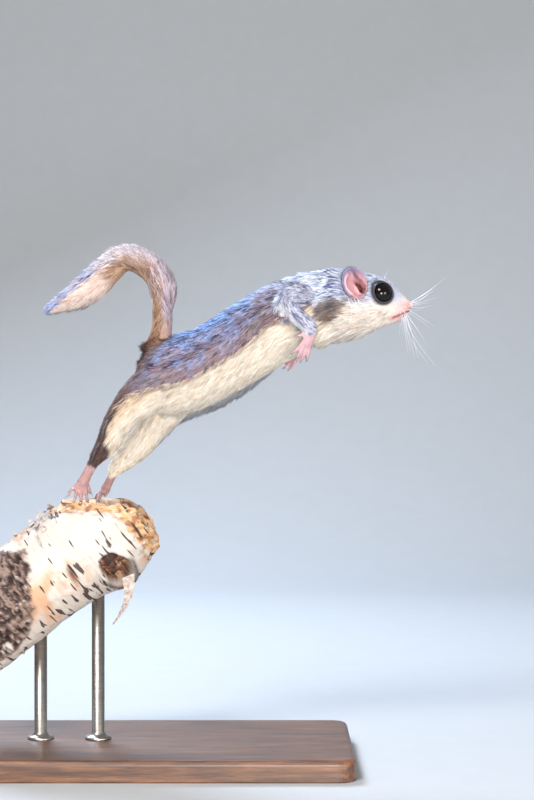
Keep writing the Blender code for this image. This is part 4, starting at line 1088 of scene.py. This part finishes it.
# The ears: thin cups of bare pink skin with a rolled rim, a fold inside the rear edge and a deep red canal
# at the front. Painted light on them: blue rim light round the upper rim, highlights on the raised folds
# and shade in the crease. Fine down grows on their backs.
EAR_PLACE = np.array((91.0, 14.6, 223.0))
EAR_FACING = np.array((0.42, 0.9, 0.10))
EAR_LEAN = np.array((-0.52, 0.0, 0.85))
EAR_LENGTH = 14.6
EAR_WIDTH = 12.4
EAR_HOLLOW = 2.6
EAR_WALL = 0.45
EAR_SIDES = 56
EAR_DOWN_COUNT = 1100
EAR_PINK = np.array(paint(166, 124, 130))
EAR_RED = np.array(paint(104, 38, 42))
EAR_PAINTED_HIGHLIGHT = np.array(paint(224, 190, 188))
EAR_RIM_PAINTED_LIGHT = np.array(paint(124, 122, 156))
EAR_SHADE = np.array(paint(74, 44, 62))
EAR_BACK = np.array(paint(176, 160, 176))
EAR_DOWN = (1.5, 0.10, 20.0)
EAR_DOWN_PAINT = (paint(120, 116, 140), paint(206, 206, 226))

ear_finish = Finish("ear_skin", 0.5, Subsurface_Weight=0.15, Subsurface_Scale=0.002)
vein = ear_finish.noise(ear_finish.place((1.6, 1.6, 0.5)), 420.0, 5.0, 0.65)
ear_paint = ear_finish.attribute("markings")
flushed = ear_finish.mix(0.8, ear_paint, (0.80, 0.62, 0.64), "MULTIPLY")
ear_finish.feed("Base Color", ear_finish.mix(ear_finish.step(vein, 0.42, 0.62) * 0.4, ear_paint, flushed))
ear_finish.feed("Roughness", 0.4 + 0.25 * vein)
ear_finish.bump(ear_finish.noise(ear_finish.place(), 1100.0, 4.0), 0.00015, 0.7)

ear_places = []
for side, name in ((-1, "ear_right"), (1, "ear_left")):
    mirror = np.array((1, side, 1))
    facing = unit(EAR_FACING * mirror)
    tall = unit(EAR_LEAN - facing * (EAR_LEAN @ facing))
    wide = unit(np.cross(tall, facing))
    wide = wide if wide[0] > 0 else -wide

    def cup(level, behind):
        """A ring of the ear and its colours; level 0 is its middle and 1 its rim."""
        a = np.linspace(0, 2 * math.pi, EAR_SIDES, endpoint=False)
        reach_up = np.cos(a) * (1 + 0.07 * np.maximum(np.cos(a), 0)) * level
        reach_on = np.sin(a) * level
        depth = EAR_HOLLOW * (1 - level ** 2) + 0.9 * level ** 2 * np.maximum(-np.sin(a), 0)
        roll = 0.7 * np.exp(-((level - 0.97) / 0.05) ** 2) * ease(np.cos(a) - np.sin(a) * 0.3, -0.9, 0.2)
        fold = 0.9 * np.exp(-((level - 0.66) / 0.10) ** 2) * ease(-np.sin(a) + 0.4 * np.cos(a), 0.1, 0.8)
        canal = 2.6 * np.exp(-(((reach_on - 0.40) / 0.22) ** 2 + ((reach_up + 0.42) / 0.36) ** 2))
        flap = 1.3 * np.exp(-(((reach_on - 0.12) / 0.12) ** 2 + ((reach_up + 0.36) / 0.30) ** 2))
        crease = np.exp(-(((reach_on - 0.62 + 0.25 * reach_up) / 0.10) ** 2
                          + ((reach_up - 0.30) / 0.50) ** 2))
        ripple = 0.16 * np.sin(7 * a + 2.0) * np.exp(-((level - 0.85) / 0.12) ** 2)
        out = roll + fold + flap + ripple - canal - depth - 0.9 * crease
        if behind:
            out = out - EAR_WALL
        centre = EAR_PLACE * mirror
        ring = (centre + tall * (reach_up * EAR_LENGTH / 2)[:, None]
                + wide * (reach_on * EAR_WIDTH / 2)[:, None] + facing * out[:, None])
        bowl = np.exp(-(((reach_on - 0.2) / 0.3) ** 2 + (reach_up / 0.3) ** 2))
        red = np.clip(canal / 1.5 + 0.35 * bowl, 0, 1)
        # Raised folds and ripples painted paler: painted highlights.
        shade = EAR_PINK + (EAR_PAINTED_HIGHLIGHT - EAR_PINK) * np.clip(fold + flap * 0.6 + 0.3 * ripple, 0, 1)[:, None]
        shade = shade + (EAR_RED - shade) * red[:, None]
        # Painted blue rim light round the upper rim.
        painted_rim_light = ease(level + 0 * a, 0.50, 0.92) * ease(np.cos(a) - 0.5 * np.sin(a), -0.5, 0.5)
        shade = shade + (EAR_RIM_PAINTED_LIGHT - shade) * (painted_rim_light * 0.9)[:, None]
        # Painted shade in the crease.
        shade = shade + (EAR_SHADE - shade) * (np.clip(crease, 0, 1) * 0.85)[:, None]
        if behind:
            shade = np.tile(EAR_BACK, (EAR_SIDES, 1))
        return ring, shade

    front = [cup(level, False) for level in np.linspace(0.05, 1.0, 24)]
    back = [cup(level, True) for level in (0.985, 0.92, 0.82, 0.7, 0.55, 0.4, 0.2)]
    ear = bridged(bmesh.new(), [ring for ring, _ in front + back])
    item = shown(name + "_cup", ear, ear_finish)
    coloured(item.data, "markings", np.concatenate([c for _, c in front + back]))
    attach(item, "root")
    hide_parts(name)
    outer = np.concatenate([ring for ring, _ in back[:4]])
    pick = rough.integers(0, len(outer), EAR_DOWN_COUNT)
    spots = outer[pick] + rough.normal(0, 0.25, (EAR_DOWN_COUNT, 3))
    spots -= facing * ((spots - outer[pick]) @ facing)[:, None]
    ear_places.append((spots, np.tile(-facing, (EAR_DOWN_COUNT, 1)),
                       np.tile(tall - facing * 0.2, (EAR_DOWN_COUNT, 1))))

down = [np.concatenate(group) for group in zip(*ear_places)]
count = len(down[0])
ear_down = tuft_rows(down[0], down[1], unit(down[2]), np.full(count, EAR_DOWN[0]),
                     np.full(count, EAR_DOWN[1]), np.full(count, EAR_DOWN[2]),
                     np.tile(EAR_DOWN_PAINT[0], (count, 1)), np.tile(EAR_DOWN_PAINT[1], (count, 1)),
                     on_sheet(down[0]), rough, 0.2)
tuft_piece("coat_ears", ear_down, fur)

# The eyes: large wet dark-brown balls, with lids of thin bare skin that ring them closely.
EYE_RADIUS = 5.0
LID_REACH = 4.75
LID_OUT = 2.35
LID_THICK = 0.42
eye_finish = Finish("dark_eye", 0.05, Specular_IOR_Level=0.30)
eye_finish.feed("Base Color", eye_finish.mix(eye_finish.noise(eye_finish.place(), 500.0, 3.0),
                                             paint(6, 3, 4), paint(16, 8, 10)))
lid_finish = Finish("lid_skin", 0.75)
lid_grain = lid_finish.noise(lid_finish.place(), 1600.0, 4.0)
lid_finish.feed("Base Color", lid_finish.mix(lid_grain, paint(9, 5, 8), paint(24, 16, 23)))
lid_finish.bump(lid_grain, 0.0002, 0.8)
for side, name in ((-1, "eye_right"), (1, "eye_left")):
    outward = Vector((EYE_FACING[0], side * EYE_FACING[1], EYE_FACING[2])).normalized()
    centre = Vector((EYE[0], side * EYE[1], EYE[2]))
    turn = outward.to_track_quat("Z", "Y").to_matrix().to_4x4()
    eye = bmesh.new()
    bmesh.ops.create_uvsphere(eye, u_segments=48, v_segments=32, radius=EYE_RADIUS)
    for vert in eye.verts:
        vert.co.z += 0.35 * max(vert.co.z / EYE_RADIUS - 0.55, 0.0)
    bmesh.ops.transform(eye, matrix=Matrix.Translation(centre) @ turn, verts=eye.verts)
    item = shown(name + "_ball", eye, eye_finish)
    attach(item, "root")
    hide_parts(name)
    lid = bmesh.new()
    bmesh.ops.create_circle(lid, segments=10, radius=LID_THICK)
    bmesh.ops.scale(lid, vec=(1.25, 0.85, 1), verts=lid.verts)
    bmesh.ops.rotate(lid, cent=(0, 0, 0), matrix=Matrix.Rotation(math.pi / 2, 3, "X"), verts=lid.verts)
    bmesh.ops.translate(lid, vec=(LID_REACH, 0, LID_OUT), verts=lid.verts)
    bmesh.ops.spin(lid, geom=lid.verts[:] + lid.edges[:], cent=(0, 0, 0), axis=(0, 0, 1), dvec=(0, 0, 0),
                   angle=2 * math.pi, steps=64, use_merge=True)
    for vert in lid.verts:
        a = math.atan2(vert.co.y, vert.co.x)
        vert.co.x *= 1.0 + 0.05 * math.cos(a) ** 2
        vert.co.z -= 0.35 * math.cos(a) ** 2
    bmesh.ops.recalc_face_normals(lid, faces=lid.faces)
    bmesh.ops.transform(lid, matrix=Matrix.Translation(centre) @ turn, verts=lid.verts)
    item = shown("lids_" + name, lid, lid_finish)
    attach(item, "root")

# The nose: a small bare moist pad of pink skin, with two slanting nostrils and a groove that
# runs down to the lip.
NOSE_PLACE = np.array((117.9, 0.0, 213.9))
NOSE_RADII = np.array((1.55, 2.15, 1.75))
nose_finish = Finish("nose_skin", 0.35)
nose_grain = nose_finish.add("ShaderNodeTexVoronoi", {"feature": "DISTANCE_TO_EDGE"},
                             {"Vector": nose_finish.place(), "Scale": 3200.0})
# The pad's pink is lightened towards a painted blue-white highlight, and the lines between its cobbles are
# darkened as painted shade.
nose_finish.feed("Base Color", nose_finish.mix(nose_finish.step(nose_grain, 0.0, 0.2),
                                               paint(176, 132, 142), paint(214, 194, 206)))
nose_finish.bump(nose_finish.step(nose_grain, 0.0, 0.3), 0.0001, 0.7)
nose = bmesh.new()
bmesh.ops.create_uvsphere(nose, u_segments=40, v_segments=28, radius=1.0)
for vert in nose.verts:
    a, b, c = vert.co
    pits = sum(math.exp(-(((b - side * 0.52) / 0.22) ** 2 + ((c - 0.05 - 0.25 * abs(b)) / 0.20) ** 2))
               for side in (-1, 1)) if a > 0 else 0
    groove = math.exp(-(b / 0.10) ** 2) * ease(-c, -0.1, 0.5) if a > 0 else 0
    out = 1.0 - 0.50 * pits - 0.16 * groove
    vert.co = Vector(NOSE_PLACE) + Vector((a * out * NOSE_RADII[0], b * NOSE_RADII[1], c * NOSE_RADII[2]))
item = shown("nose", nose, nose_finish)
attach(item, "root")

# The whiskers: stiff tapered hairs in rows on each side of the muzzle and one over each eye,
# with long pale guard hairs behind the cheek.
hair_finish = Finish("whisker", 0.35)
hair_finish.feed("Base Color", hair_finish.mix(hair_finish.noise(hair_finish.place(), 300.0),
                                               paint(196, 200, 220), paint(252, 252, 252)))
WHISKER_THICK = 0.10
GUARD_THICK = 0.16
HAIR_STEPS = 10
WHISKERS = (
    ((117.0, 2.6, 214.4), (125.5, 7.0, 219.8), (133.6, 11.0, 226.0)),
    ((116.6, 3.0, 213.8), (122.6, 7.5, 216.6), (128.6, 12.5, 221.0)),
    ((116.2, 3.2, 213.0), (122.5, 8.5, 214.6), (129.0, 14.5, 216.6)),
    ((115.6, 3.6, 212.6), (121.0, 11.0, 212.0), (125.8, 19.0, 212.6)),
    ((115.4, 3.6, 212.0), (121.5, 9.0, 208.0), (128.5, 13.0, 203.0)),
    ((115.0, 3.8, 211.4), (119.0, 8.0, 203.0), (124.0, 11.5, 195.0)),
    ((114.6, 4.0, 210.9), (117.6, 8.0, 200.0), (121.0, 10.5, 188.0)),
    ((114.0, 4.2, 210.8), (119.0, 9.0, 197.5), (128.5, 12.5, 184.5)),
    ((113.6, 4.4, 211.6), (117.0, 12.0, 206.0), (120.0, 20.0, 202.0)),
    ((113.4, 4.4, 210.6), (115.4, 8.5, 201.0), (116.6, 11.5, 192.0)),
    ((112.6, 4.8, 210.8), (113.6, 10.5, 204.5), (113.4, 16.0, 199.0)),
    ((105.0, 9.4, 224.6), (106.2, 12.4, 227.6), (106.0, 15.0, 230.0)),
)
GUARD_HAIRS = (
    ((90.0, 13.2, 217.0), (92.6, 14.6, 212.6), (94.2, 14.4, 207.4)),
    ((89.0, 13.2, 216.4), (91.0, 14.8, 211.4), (91.6, 14.4, 206.0)),
    ((91.2, 13.2, 217.2), (94.4, 14.4, 213.6), (96.4, 13.8, 209.4)),
    ((88.0, 13.2, 216.0), (89.4, 14.6, 211.0), (89.0, 14.2, 206.4)),
    ((92.0, 13.0, 216.4), (94.6, 14.0, 211.4), (95.4, 13.4, 207.8)),
)


def tapered(shape, path, upright, sizes, sides, flatness=1.0):
    """A closed tube along a path, with its radius at each step."""
    ahead = unit(np.gradient(path, axis=0))
    across = unit(np.cross(ahead, upright))
    over = np.cross(ahead, across)
    angles = np.linspace(0, 2 * math.pi, sides, endpoint=False)
    bridged(shape, [[path[k] + across[k] * size * flatness * math.cos(a) + over[k] * size * math.sin(a)
                     for a in angles] for k, size in enumerate(sizes)])


for group, thick, name in ((WHISKERS, WHISKER_THICK, "whiskers"),
                           (GUARD_HAIRS, GUARD_THICK, "guard_hairs")):
    hairs = bmesh.new()
    for line in group:
        for side in (-1, 1):
            path = curve_through(np.array(line) * (1, side, 1) + rough.normal(0, 0.25, (3, 3)), HAIR_STEPS)
            path[0] = np.array(line[0]) * (1, side, 1)
            sizes = [thick * (1 - 0.86 * k / (HAIR_STEPS - 1)) for k in range(HAIR_STEPS)]
            tapered(hairs, path, (0.1, 0.2, 1.0), sizes, 4)
    item = shown(name, hairs, hair_finish)
    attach(item, "root")

# The claws: small curved horn hooks, one at the end of each finger and toe.
HAND = {
    -1: ((71.4, -19.0, 201.4), (-0.42, 0.08, -0.90), (-0.86, -0.34, 0.38)),
    1: ((69.4, 13.4, 194.9), (-0.76, -0.12, -0.64), (-0.52, 0.45, 0.72)),
}
FINGERS = ((-1.9, 4.4), (-0.7, 5.6), (0.6, 5.4), (1.9, 4.2))
FOOT = {
    -1: ((-35.8, -8.2, 130.2), ((-41.9, -10.4, 125.4), (-39.2, -10.6, 122.4), (-36.2, -9.8, 122.0),
                                (-33.2, -8.6, 122.0), (-32.2, -6.6, 126.4))),
    1: ((-26.8, 9.6, 126.0), ((-31.6, 15.8, 122.6), (-30.4, 12.8, 122.0), (-30.0, 10.0, 122.0),
                              (-29.5, 7.6, 122.2), (-26.0, 4.0, 124.4))),
}
CLAW_THICK = 0.48
CLAW_FLATNESS = 0.7
CLAW_STEPS = 6
claw_finish = Finish("horn", 0.3)
claw_finish.feed("Base Color", claw_finish.mix(claw_finish.noise(claw_finish.place((1, 1, 3)), 700.0),
                                               paint(70, 50, 44), paint(176, 150, 132)))
claws = bmesh.new()
hooks = []
for side in (-1, 1):
    wrist, heading, spread = (np.array(v) for v in HAND[side])
    heading = unit(heading)
    spread = unit(spread)
    palm = unit(np.cross(heading, spread))
    palm = -palm if palm[0] > 0 else palm
    for out, length in FINGERS:
        root = wrist + heading * 6.6 + spread * out
        knuckle = root + heading * (2.0 + length * 0.35) + spread * out * 0.45 - palm * 0.3
        tip = knuckle + heading * length * 0.72 + spread * out * 0.5 + palm * 0.9
        hooks.append((tip, unit(tip - knuckle), palm))
    ball_of_foot, toes = (np.array(v) for v in FOOT[side])
    for tip in toes:
        hooks.append((tip, unit(tip - ball_of_foot * 0.45 - tip * 0.55), np.array((-0.2, 0, -0.8))))
for tip, heading, droop in hooks:
    path = curve_through((tip - heading * 0.4, tip + heading * 1.0 + droop * 0.1,
                          tip + heading * 1.9 + droop * 0.8), CLAW_STEPS)
    sizes = [CLAW_THICK * (1 - 0.8 * k / (CLAW_STEPS - 1)) for k in range(CLAW_STEPS)]
    tapered(claws, path, (0.3, 0.9, 0.2), sizes, 8, CLAW_FLATNESS)
item = shown("claws", claws, claw_finish)
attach(item, "root")

# The branch: a length of dead white birch, sawn off flat at the low end and broken off at the
# other, with dashes across its bark, rust stains, a knot hole, furrows and rotten pale wood.
BRANCH_PLACE = np.array((-33.1, 0.0, 103.4))
BRANCH_SLOPE = math.radians(38.0)
BRANCH_RADIUS = 23.0
BRANCH_SAWN = -71.0
BRANCH_SWELLING = 5.0
BRANCH_SIDES = 176
BRANCH_ROWS = 170
# Marks on the bark, by x, z and reach in the camera's view.
KNOT = (-20.6, 90.0, 8.4)
GASH = (-41.0, 86.4, 1.5, 5.2)
FURROWS = (-74.0, 74.0, 15.0, 25.0)
BARK_WHITE = np.array(paint(198, 189, 180))
BARK_RUST = np.array(paint(196, 140, 96))
BARK_BROWN = np.array(paint(108, 68, 50))
BARK_DARK = np.array(paint(36, 22, 22))
FURROW_RIDGE = np.array(paint(128, 106, 96))
FURROW_SIDE = np.array(paint(76, 50, 42))
ROTTEN_PALE = np.array(paint(202, 164, 122))
ROTTEN_DARK = np.array(paint(128, 72, 46))
SAWN_WOOD = np.array(paint(222, 186, 140))

branch_axis = np.array((math.cos(BRANCH_SLOPE), 0.0, math.sin(BRANCH_SLOPE)))
branch_lift = np.array((-math.sin(BRANCH_SLOPE), 0.0, math.cos(BRANCH_SLOPE)))
branch_side = np.array((0.0, 1.0, 0.0))
around = np.linspace(0, 2 * math.pi, BRANCH_SIDES, endpoint=False)


def broken_at(across):
    """How far along its axis the branch reaches at each height across it."""
    return np.minimum(1.28 * (BRANCH_RADIUS - across), 27.5 - 0.022 * (across + 9.0) ** 2)


def on_branch(along, reach):
    """A ring of places round the branch, so far along it and so far out from its axis."""
    across = branch_lift * np.cos(around)[:, None] + branch_side * np.sin(around)[:, None]
    return (BRANCH_PLACE + branch_axis * np.array(along).reshape(-1, 1)
            + across * np.array(reach).reshape(-1, 1))


def from_mark(spots, mark_x, mark_z):
    """Where places stand from a mark, seen in the photo's view, on the side that it shows."""
    centre_x, camera_off, centre_z = CAMERA_PLACE[0] / MM, -CAMERA_PLACE[1] / MM, CAMERA_PLACE[2] / MM
    nearer = camera_off / (camera_off + spots[:, 1])
    seen_x = centre_x + (spots[:, 0] - centre_x) * nearer - mark_x
    seen_z = centre_z + (spots[:, 2] - centre_z) * nearer - mark_z
    return seen_x, seen_z, spots[:, 1] < 4


def bark_ring(along):
    """One ring of bark, displaced and coloured."""
    low = np.exp(-((around - math.pi) / 0.75) ** 2) * np.exp(-((along - 4.0) / 13.0) ** 2)
    plain = on_branch(along, BRANCH_RADIUS + BRANCH_SWELLING * low)
    edge = broken_at(BRANCH_RADIUS * np.cos(around)) - along
    lumps = grained(plain, 14.0, 4)
    fine = grained(plain, 2.6, 3)
    kx, kz, near = from_mark(plain, KNOT[0], KNOT[1])
    knot = np.hypot(kx + 0.25 * kz, kz * 1.1) / KNOT[2] + 0.12 * lumps
    hole = ease(-knot, -1.0, -0.72) * near
    rim = np.exp(-((knot - 1.10) / 0.14) ** 2) * near
    gx, gz, near = from_mark(plain, GASH[0], GASH[1])
    gash = ((gx + gz * 0.55) / GASH[2]) ** 2 + ((gz - gx * 0.3) / GASH[3]) ** 2
    gash = np.exp(-gash) * near
    fx, fz, near = from_mark(plain, FURROWS[0], FURROWS[1])
    furrow = ease(-np.hypot(fx / FURROWS[2], fz / FURROWS[3]) - 0.18 * lumps, -1.04, -0.9) * near
    ragged = np.exp(-((along + 13) / 9.0) ** 2) * ease(np.cos(around), 0.72, 0.95)
    along_bark = plain @ branch_axis
    grooves = grained(plain + branch_axis * (along_bark * 1.2)[:, None], 2.6, 4) + 0.35 * fine
    reach = BRANCH_RADIUS + BRANCH_SWELLING * low + 0.55 * lumps + 0.12 * fine
    reach = reach - hole * (4.2 + 1.4 * fine) + 0.9 * rim - 1.6 * gash
    reach = reach + furrow * (0.4 + 1.5 * grooves) + ragged * (0.3 + 1.3 * fine)
    rotten = ease(-edge - 2.2 * fine - 1.5 * lumps, -6.5, -5.0)
    reach = reach - rotten * (0.9 + 0.8 * fine)
    worn = 0.9 * ease(np.cos(around), 0.80, 0.93)
    reach = reach - worn * math.exp(-((np.mean(along) + 2) / 14.0) ** 2)
    shade = np.tile(BARK_WHITE, (BRANCH_SIDES, 1))

    def tint(colour, share):
        return shade + (colour - shade) * np.clip(share, 0, 1)[:, None]

    stain = ease(grained(plain + 31.0, 19.0, 3), 0.28, 0.75) + 0.5 * gash
    stain = stain + 0.7 * np.exp(-((np.hypot(gx, gz) - 5) / 4.0) ** 2) * near * ease(fine, -0.3, 0.5)
    shade = tint(BARK_RUST, stain * 0.75)
    shade = tint(BARK_BROWN, gash * 1.1)
    shade = tint(BARK_BROWN, ragged * ease(fine, -0.25, 0.3) * 0.8)
    shade = tint(FURROW_RIDGE, furrow * 0.95)
    # The furrows darken with their depth, brown down their sides and near black at their bottoms: painted
    # shade in the grooves.
    shade = tint(FURROW_SIDE, furrow * ease(-grooves, -0.35, 0.15) * 0.95)
    shade = tint(BARK_DARK, furrow * ease(-grooves, 0.1, 0.45) * 0.95)
    shade = tint(BARK_WHITE, furrow * ease(grained(plain + 7.0, 4.0, 4), 0.45, 0.8) * 0.8)
    shade = tint(BARK_BROWN, hole * 1.4)
    shade = tint(BARK_DARK, hole * ease(-fine, 0.0, 0.5) * 0.8)
    shade = tint(ROTTEN_PALE * 0.75, hole * ease(fine, 0.2, 0.55) * 0.75)
    # The knot's rim is darkened on its lower right: painted shade.
    shade = tint(BARK_DARK, rim * ease(kx - kz, -2.0, 5.0) * 0.8)
    shade = tint(ROTTEN_PALE, rotten)
    shade = tint(ROTTEN_DARK, rotten * ease(-grained(plain, 1.7, 3), -0.1, 0.45) * 0.8)
    shade = tint(ROTTEN_DARK, np.exp(-((edge - 6.5 - 2.2 * fine) / 0.8) ** 2) * 0.55)
    return on_branch(along, reach), shade


rings = []
for level in (0.05, 0.2, 0.35, 0.5, 0.65, 0.8, 0.92, 0.98):
    spots = on_branch(BRANCH_SAWN + 0 * around, BRANCH_RADIUS * level)
    year = 0.5 + 0.5 * np.cos(np.linalg.norm(spots - spots.mean(0), axis=1) * 3.2 + grained(spots, 9.0))
    rings.append((spots, SAWN_WOOD * (1 - 0.3 * year[:, None])))
tops = broken_at(BRANCH_RADIUS * np.cos(around) * 0.98) + 0.9 * grained(on_branch(0 * around, 23.0), 4.0)
for share in np.linspace(0, 1, BRANCH_ROWS):
    rings.append(bark_ring(BRANCH_SAWN + (tops - BRANCH_SAWN) * share))
for level in (0.985, 0.95, 0.9, 0.84, 0.77, 0.69, 0.6, 0.5, 0.4, 0.3, 0.2, 0.1, 0.03):
    spots = on_branch(broken_at(BRANCH_RADIUS * np.cos(around) * level), BRANCH_RADIUS * level)
    pits = grained(spots, 5.0, 4)
    dish = 2.6 * ease(1 - level + 0 * around, 0.02, 0.4)
    # The broken end is darker in its deeper pits: painted shade.
    shade = ROTTEN_PALE + (ROTTEN_DARK - ROTTEN_PALE) * ease(-pits, -0.1, 0.6)[:, None]
    rings.append((spots - branch_axis * (dish - 1.3 * pits)[:, None], shade))
bark = bridged(bmesh.new(), [ring for ring, _ in rings])

bark_finish = Finish("birch_bark", 0.62)
turned = bark_finish.place(turn=(0, BRANCH_SLOPE, 0))
dashes_at = bark_finish.add("ShaderNodeMapping",
                            inputs={"Vector": turned, "Scale": (640.0, 105.0, 105.0)})
papery_at = bark_finish.add("ShaderNodeMapping",
                            inputs={"Vector": turned, "Scale": (900.0, 60.0, 60.0)})
dash = bark_finish.noise(dashes_at, 1.0, 1.5, 0.4)
papery = bark_finish.noise(papery_at, 1.0, 4.0, 0.6)
crowding = bark_finish.noise(bark_finish.place(), 42.0, 2.0)
dash = bark_finish.step(dash + (crowding - 0.5) * 0.42, 0.64, 0.69)
speck = bark_finish.noise(bark_finish.place(), 900.0, 5.0, 0.7)
bark_paint = bark_finish.attribute("bark")
aged = bark_finish.mix(bark_finish.step(papery, 0.45, 0.8) * 0.5, bark_paint,
                       bark_finish.mix(1.0, bark_paint, (0.80, 0.66, 0.55), "MULTIPLY"))
aged = bark_finish.mix(bark_finish.step(speck, 0.60, 0.72) * 0.6, aged,
                       bark_finish.mix(1.0, aged, (0.45, 0.33, 0.27), "MULTIPLY"))
bark_finish.feed("Base Color", bark_finish.mix(dash * 0.93, aged, paint(48, 30, 28)))
bark_finish.feed("Roughness", 0.5 + 0.3 * speck)
bark_finish.bump(papery * 0.35 + speck * 0.4 - dash * 0.9, 0.0006, 0.9)
item = shown("branch", bark, bark_finish)
coloured(item.data, "bark", np.concatenate([c for _, c in rings]))
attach(item, "root")
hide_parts("perch_branch")

# The loose bark and splinters: thin curled ribbons of peeling birch bark on the branch's top
# and below the knot hole, and short splinters of wood round the break.
PEELS = 16
TOP_PEELS = 11
PEEL_STEPS = 9
PEEL_THICK = 0.16
FLAP = ((-13.5, -20.4, 88.5), (-13.0, -21.0, 80.5), (-16.0, -20.0, 72.5), (-20.5, -19.0, 66.0))
FLAP_STEPS = 14
SPLINTERS = 80
peel_finish = Finish("peeling_bark", 0.7)
peel_grain = peel_finish.noise(peel_finish.place(), 600.0, 5.0, 0.65)
peel_finish.feed("Base Color", peel_finish.ramp(peel_grain, (
    (0.34, paint(132, 112, 98)), (0.48, paint(166, 152, 144)), (0.62, paint(186, 180, 176)))))
peel_finish.bump(peel_grain, 0.0004, 0.8)


def strip_corners(spot, half, thin_way):
    """The corners of a thin strip of bark where it is cut across."""
    return [spot - half - thin_way, spot - half + thin_way, spot + half + thin_way,
            spot + half - thin_way]


peels = bmesh.new()
for number in range(PEELS):
    along = rough.uniform(-27, -4) if number < TOP_PEELS else rough.uniform(-60, 8)
    start = rough.normal(0, 0.35) if number < TOP_PEELS else rough.uniform(0, 6.28)
    span = rough.uniform(0.12, 0.34) * rough.choice((-1, 1))
    breadth = rough.uniform(1.0, 3.2)
    lifted = rough.uniform(0.8, 2.6)
    rings = []
    for k in range(PEEL_STEPS):
        t = k / (PEEL_STEPS - 1)
        angle = start + span * t
        out = BRANCH_RADIUS + 0.2 + lifted * t * t
        way = branch_lift * math.cos(angle) + branch_side * math.sin(angle)
        spot = BRANCH_PLACE + branch_axis * (along + 0.25 * t * rough.normal()) + way * out
        half = branch_axis * breadth * (1 - 0.7 * t * t) / 2
        rings.append(strip_corners(spot, half, way * PEEL_THICK))
    bridged(peels, rings)
rings = []
for k, spot in enumerate(curve_through(FLAP, FLAP_STEPS)):
    half = np.array((0.9, 0.25, 0.35)) * (2.6 * (1 - k / (FLAP_STEPS - 1)) ** 0.8 + 0.5)
    rings.append(strip_corners(spot, half, np.array((0.05, -0.22, 0.05))))
bridged(peels, rings)
for number in range(SPLINTERS):
    angle = rough.uniform(0.75, 5.53)
    across = math.cos(angle)
    end = float(broken_at(np.array(BRANCH_RADIUS * across * 0.98)))
    way = branch_lift * across + branch_side * math.sin(angle)
    spot = BRANCH_PLACE + branch_axis * (end - 1.5) + way * rough.uniform(19.5, 22.8)
    point = spot + branch_axis * rough.uniform(1.2, 2.6) + way * rough.uniform(-0.8, 0.2)
    wide = rough.uniform(0.4, 1.2)
    turn = np.cross(branch_axis, way)
    rings = []
    for t, size in ((0, 1.0), (0.6, 0.6), (1, 0.1)):
        middle = spot + (point - spot) * t
        rings.append([middle + turn * wide * size, middle + way * 0.35 * size,
                      middle - turn * wide * size, middle - way * 0.35 * size])
    bridged(peels, rings)
item = shown("loose_bark", peels, peel_finish, smooth=False)
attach(item, "root")

# The stand: a flat base of stained wood with eased edges, and two steel rods let into it and
# into the branch, each with a turned foot.
BASE_SIZE = (180.0, 110.0, 10.0)
RODS = (("stand_rod_rear", -56.0), ("stand_rod_front", -29.0))
ROD_RADIUS = 3.0
ROD_SIDES = 40
ROD_FOOT = ((9.7, ROD_RADIUS), (9.7, 6.2), (10.9, 6.2), (11.5, 5.6), (11.8, 4.2), (12.8, 3.5),
            (13.4, ROD_RADIUS))
wood_finish = Finish("stained_wood", 0.42, Coat_Weight=0.25, Coat_Roughness=0.3)
wood_grain = wood_finish.noise(wood_finish.place((1.2, 14.0, 14.0)), 26.0, 6.0, 0.62)
pores = wood_finish.noise(wood_finish.place((4.0, 90.0, 90.0)), 30.0, 3.0, 0.6)
wood_colour = wood_finish.ramp(wood_grain, (
    (0.30, paint(46, 27, 18)), (0.50, paint(92, 58, 38)), (0.72, paint(132, 90, 60))))
wood_finish.feed("Base Color", wood_finish.mix(wood_finish.step(pores, 0.58, 0.72) * 0.6,
                                               wood_colour, paint(34, 20, 14)))
wood_finish.feed("Roughness", 0.34 + 0.22 * wood_grain)
wood_finish.bump(wood_grain * 0.3 - pores * 0.5, 0.0002, 0.5)
base = bmesh.new()
bmesh.ops.create_cube(base, size=1.0)
for vert in base.verts:
    vert.co = (vert.co.x * BASE_SIZE[0], vert.co.y * BASE_SIZE[1], (vert.co.z + 0.5) * BASE_SIZE[2])
upright = [e for e in base.edges if abs(e.verts[0].co.z - e.verts[1].co.z) > 5]
bmesh.ops.bevel(base, geom=upright, offset=8, segments=8, profile=0.5, affect="EDGES", material=-1)
top = [e for e in base.edges if min(v.co.z for v in e.verts) > 9]
bmesh.ops.bevel(base, geom=top, offset=2.5, segments=6, profile=0.5, affect="EDGES", material=-1)
foot = [e for e in base.edges if max(v.co.z for v in e.verts) < 0.5]
bmesh.ops.bevel(base, geom=foot, offset=0.6, segments=2, profile=0.5, affect="EDGES", material=-1)
item = shown("base", base, wood_finish, smooth=False)
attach(item, "root")
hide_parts("stand_base")
steel_finish = Finish("brushed_steel", 0.3, Metallic=1.0)
brushed = steel_finish.noise(steel_finish.place((1.0, 1.0, 24.0)), 120.0, 4.0)
steel_finish.feed("Base Color", steel_finish.mix(brushed, paint(128, 124, 118), paint(190, 186, 180)))
steel_finish.feed("Roughness", 0.22 + 0.25 * brushed)
for name, rod_x in RODS:
    high = BRANCH_PLACE[2] - 10.0 + (rod_x - BRANCH_PLACE[0]) * math.tan(BRANCH_SLOPE)
    rings = [[(rod_x + wide * math.cos(a), wide * math.sin(a), tall)
              for a in np.linspace(0, 2 * math.pi, ROD_SIDES, endpoint=False)]
             for tall, wide in (*ROD_FOOT, (high, ROD_RADIUS))]
    item = shown(name + "_steel", bridged(bmesh.new(), rings), steel_finish)
    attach(item, "root")
    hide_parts(name)
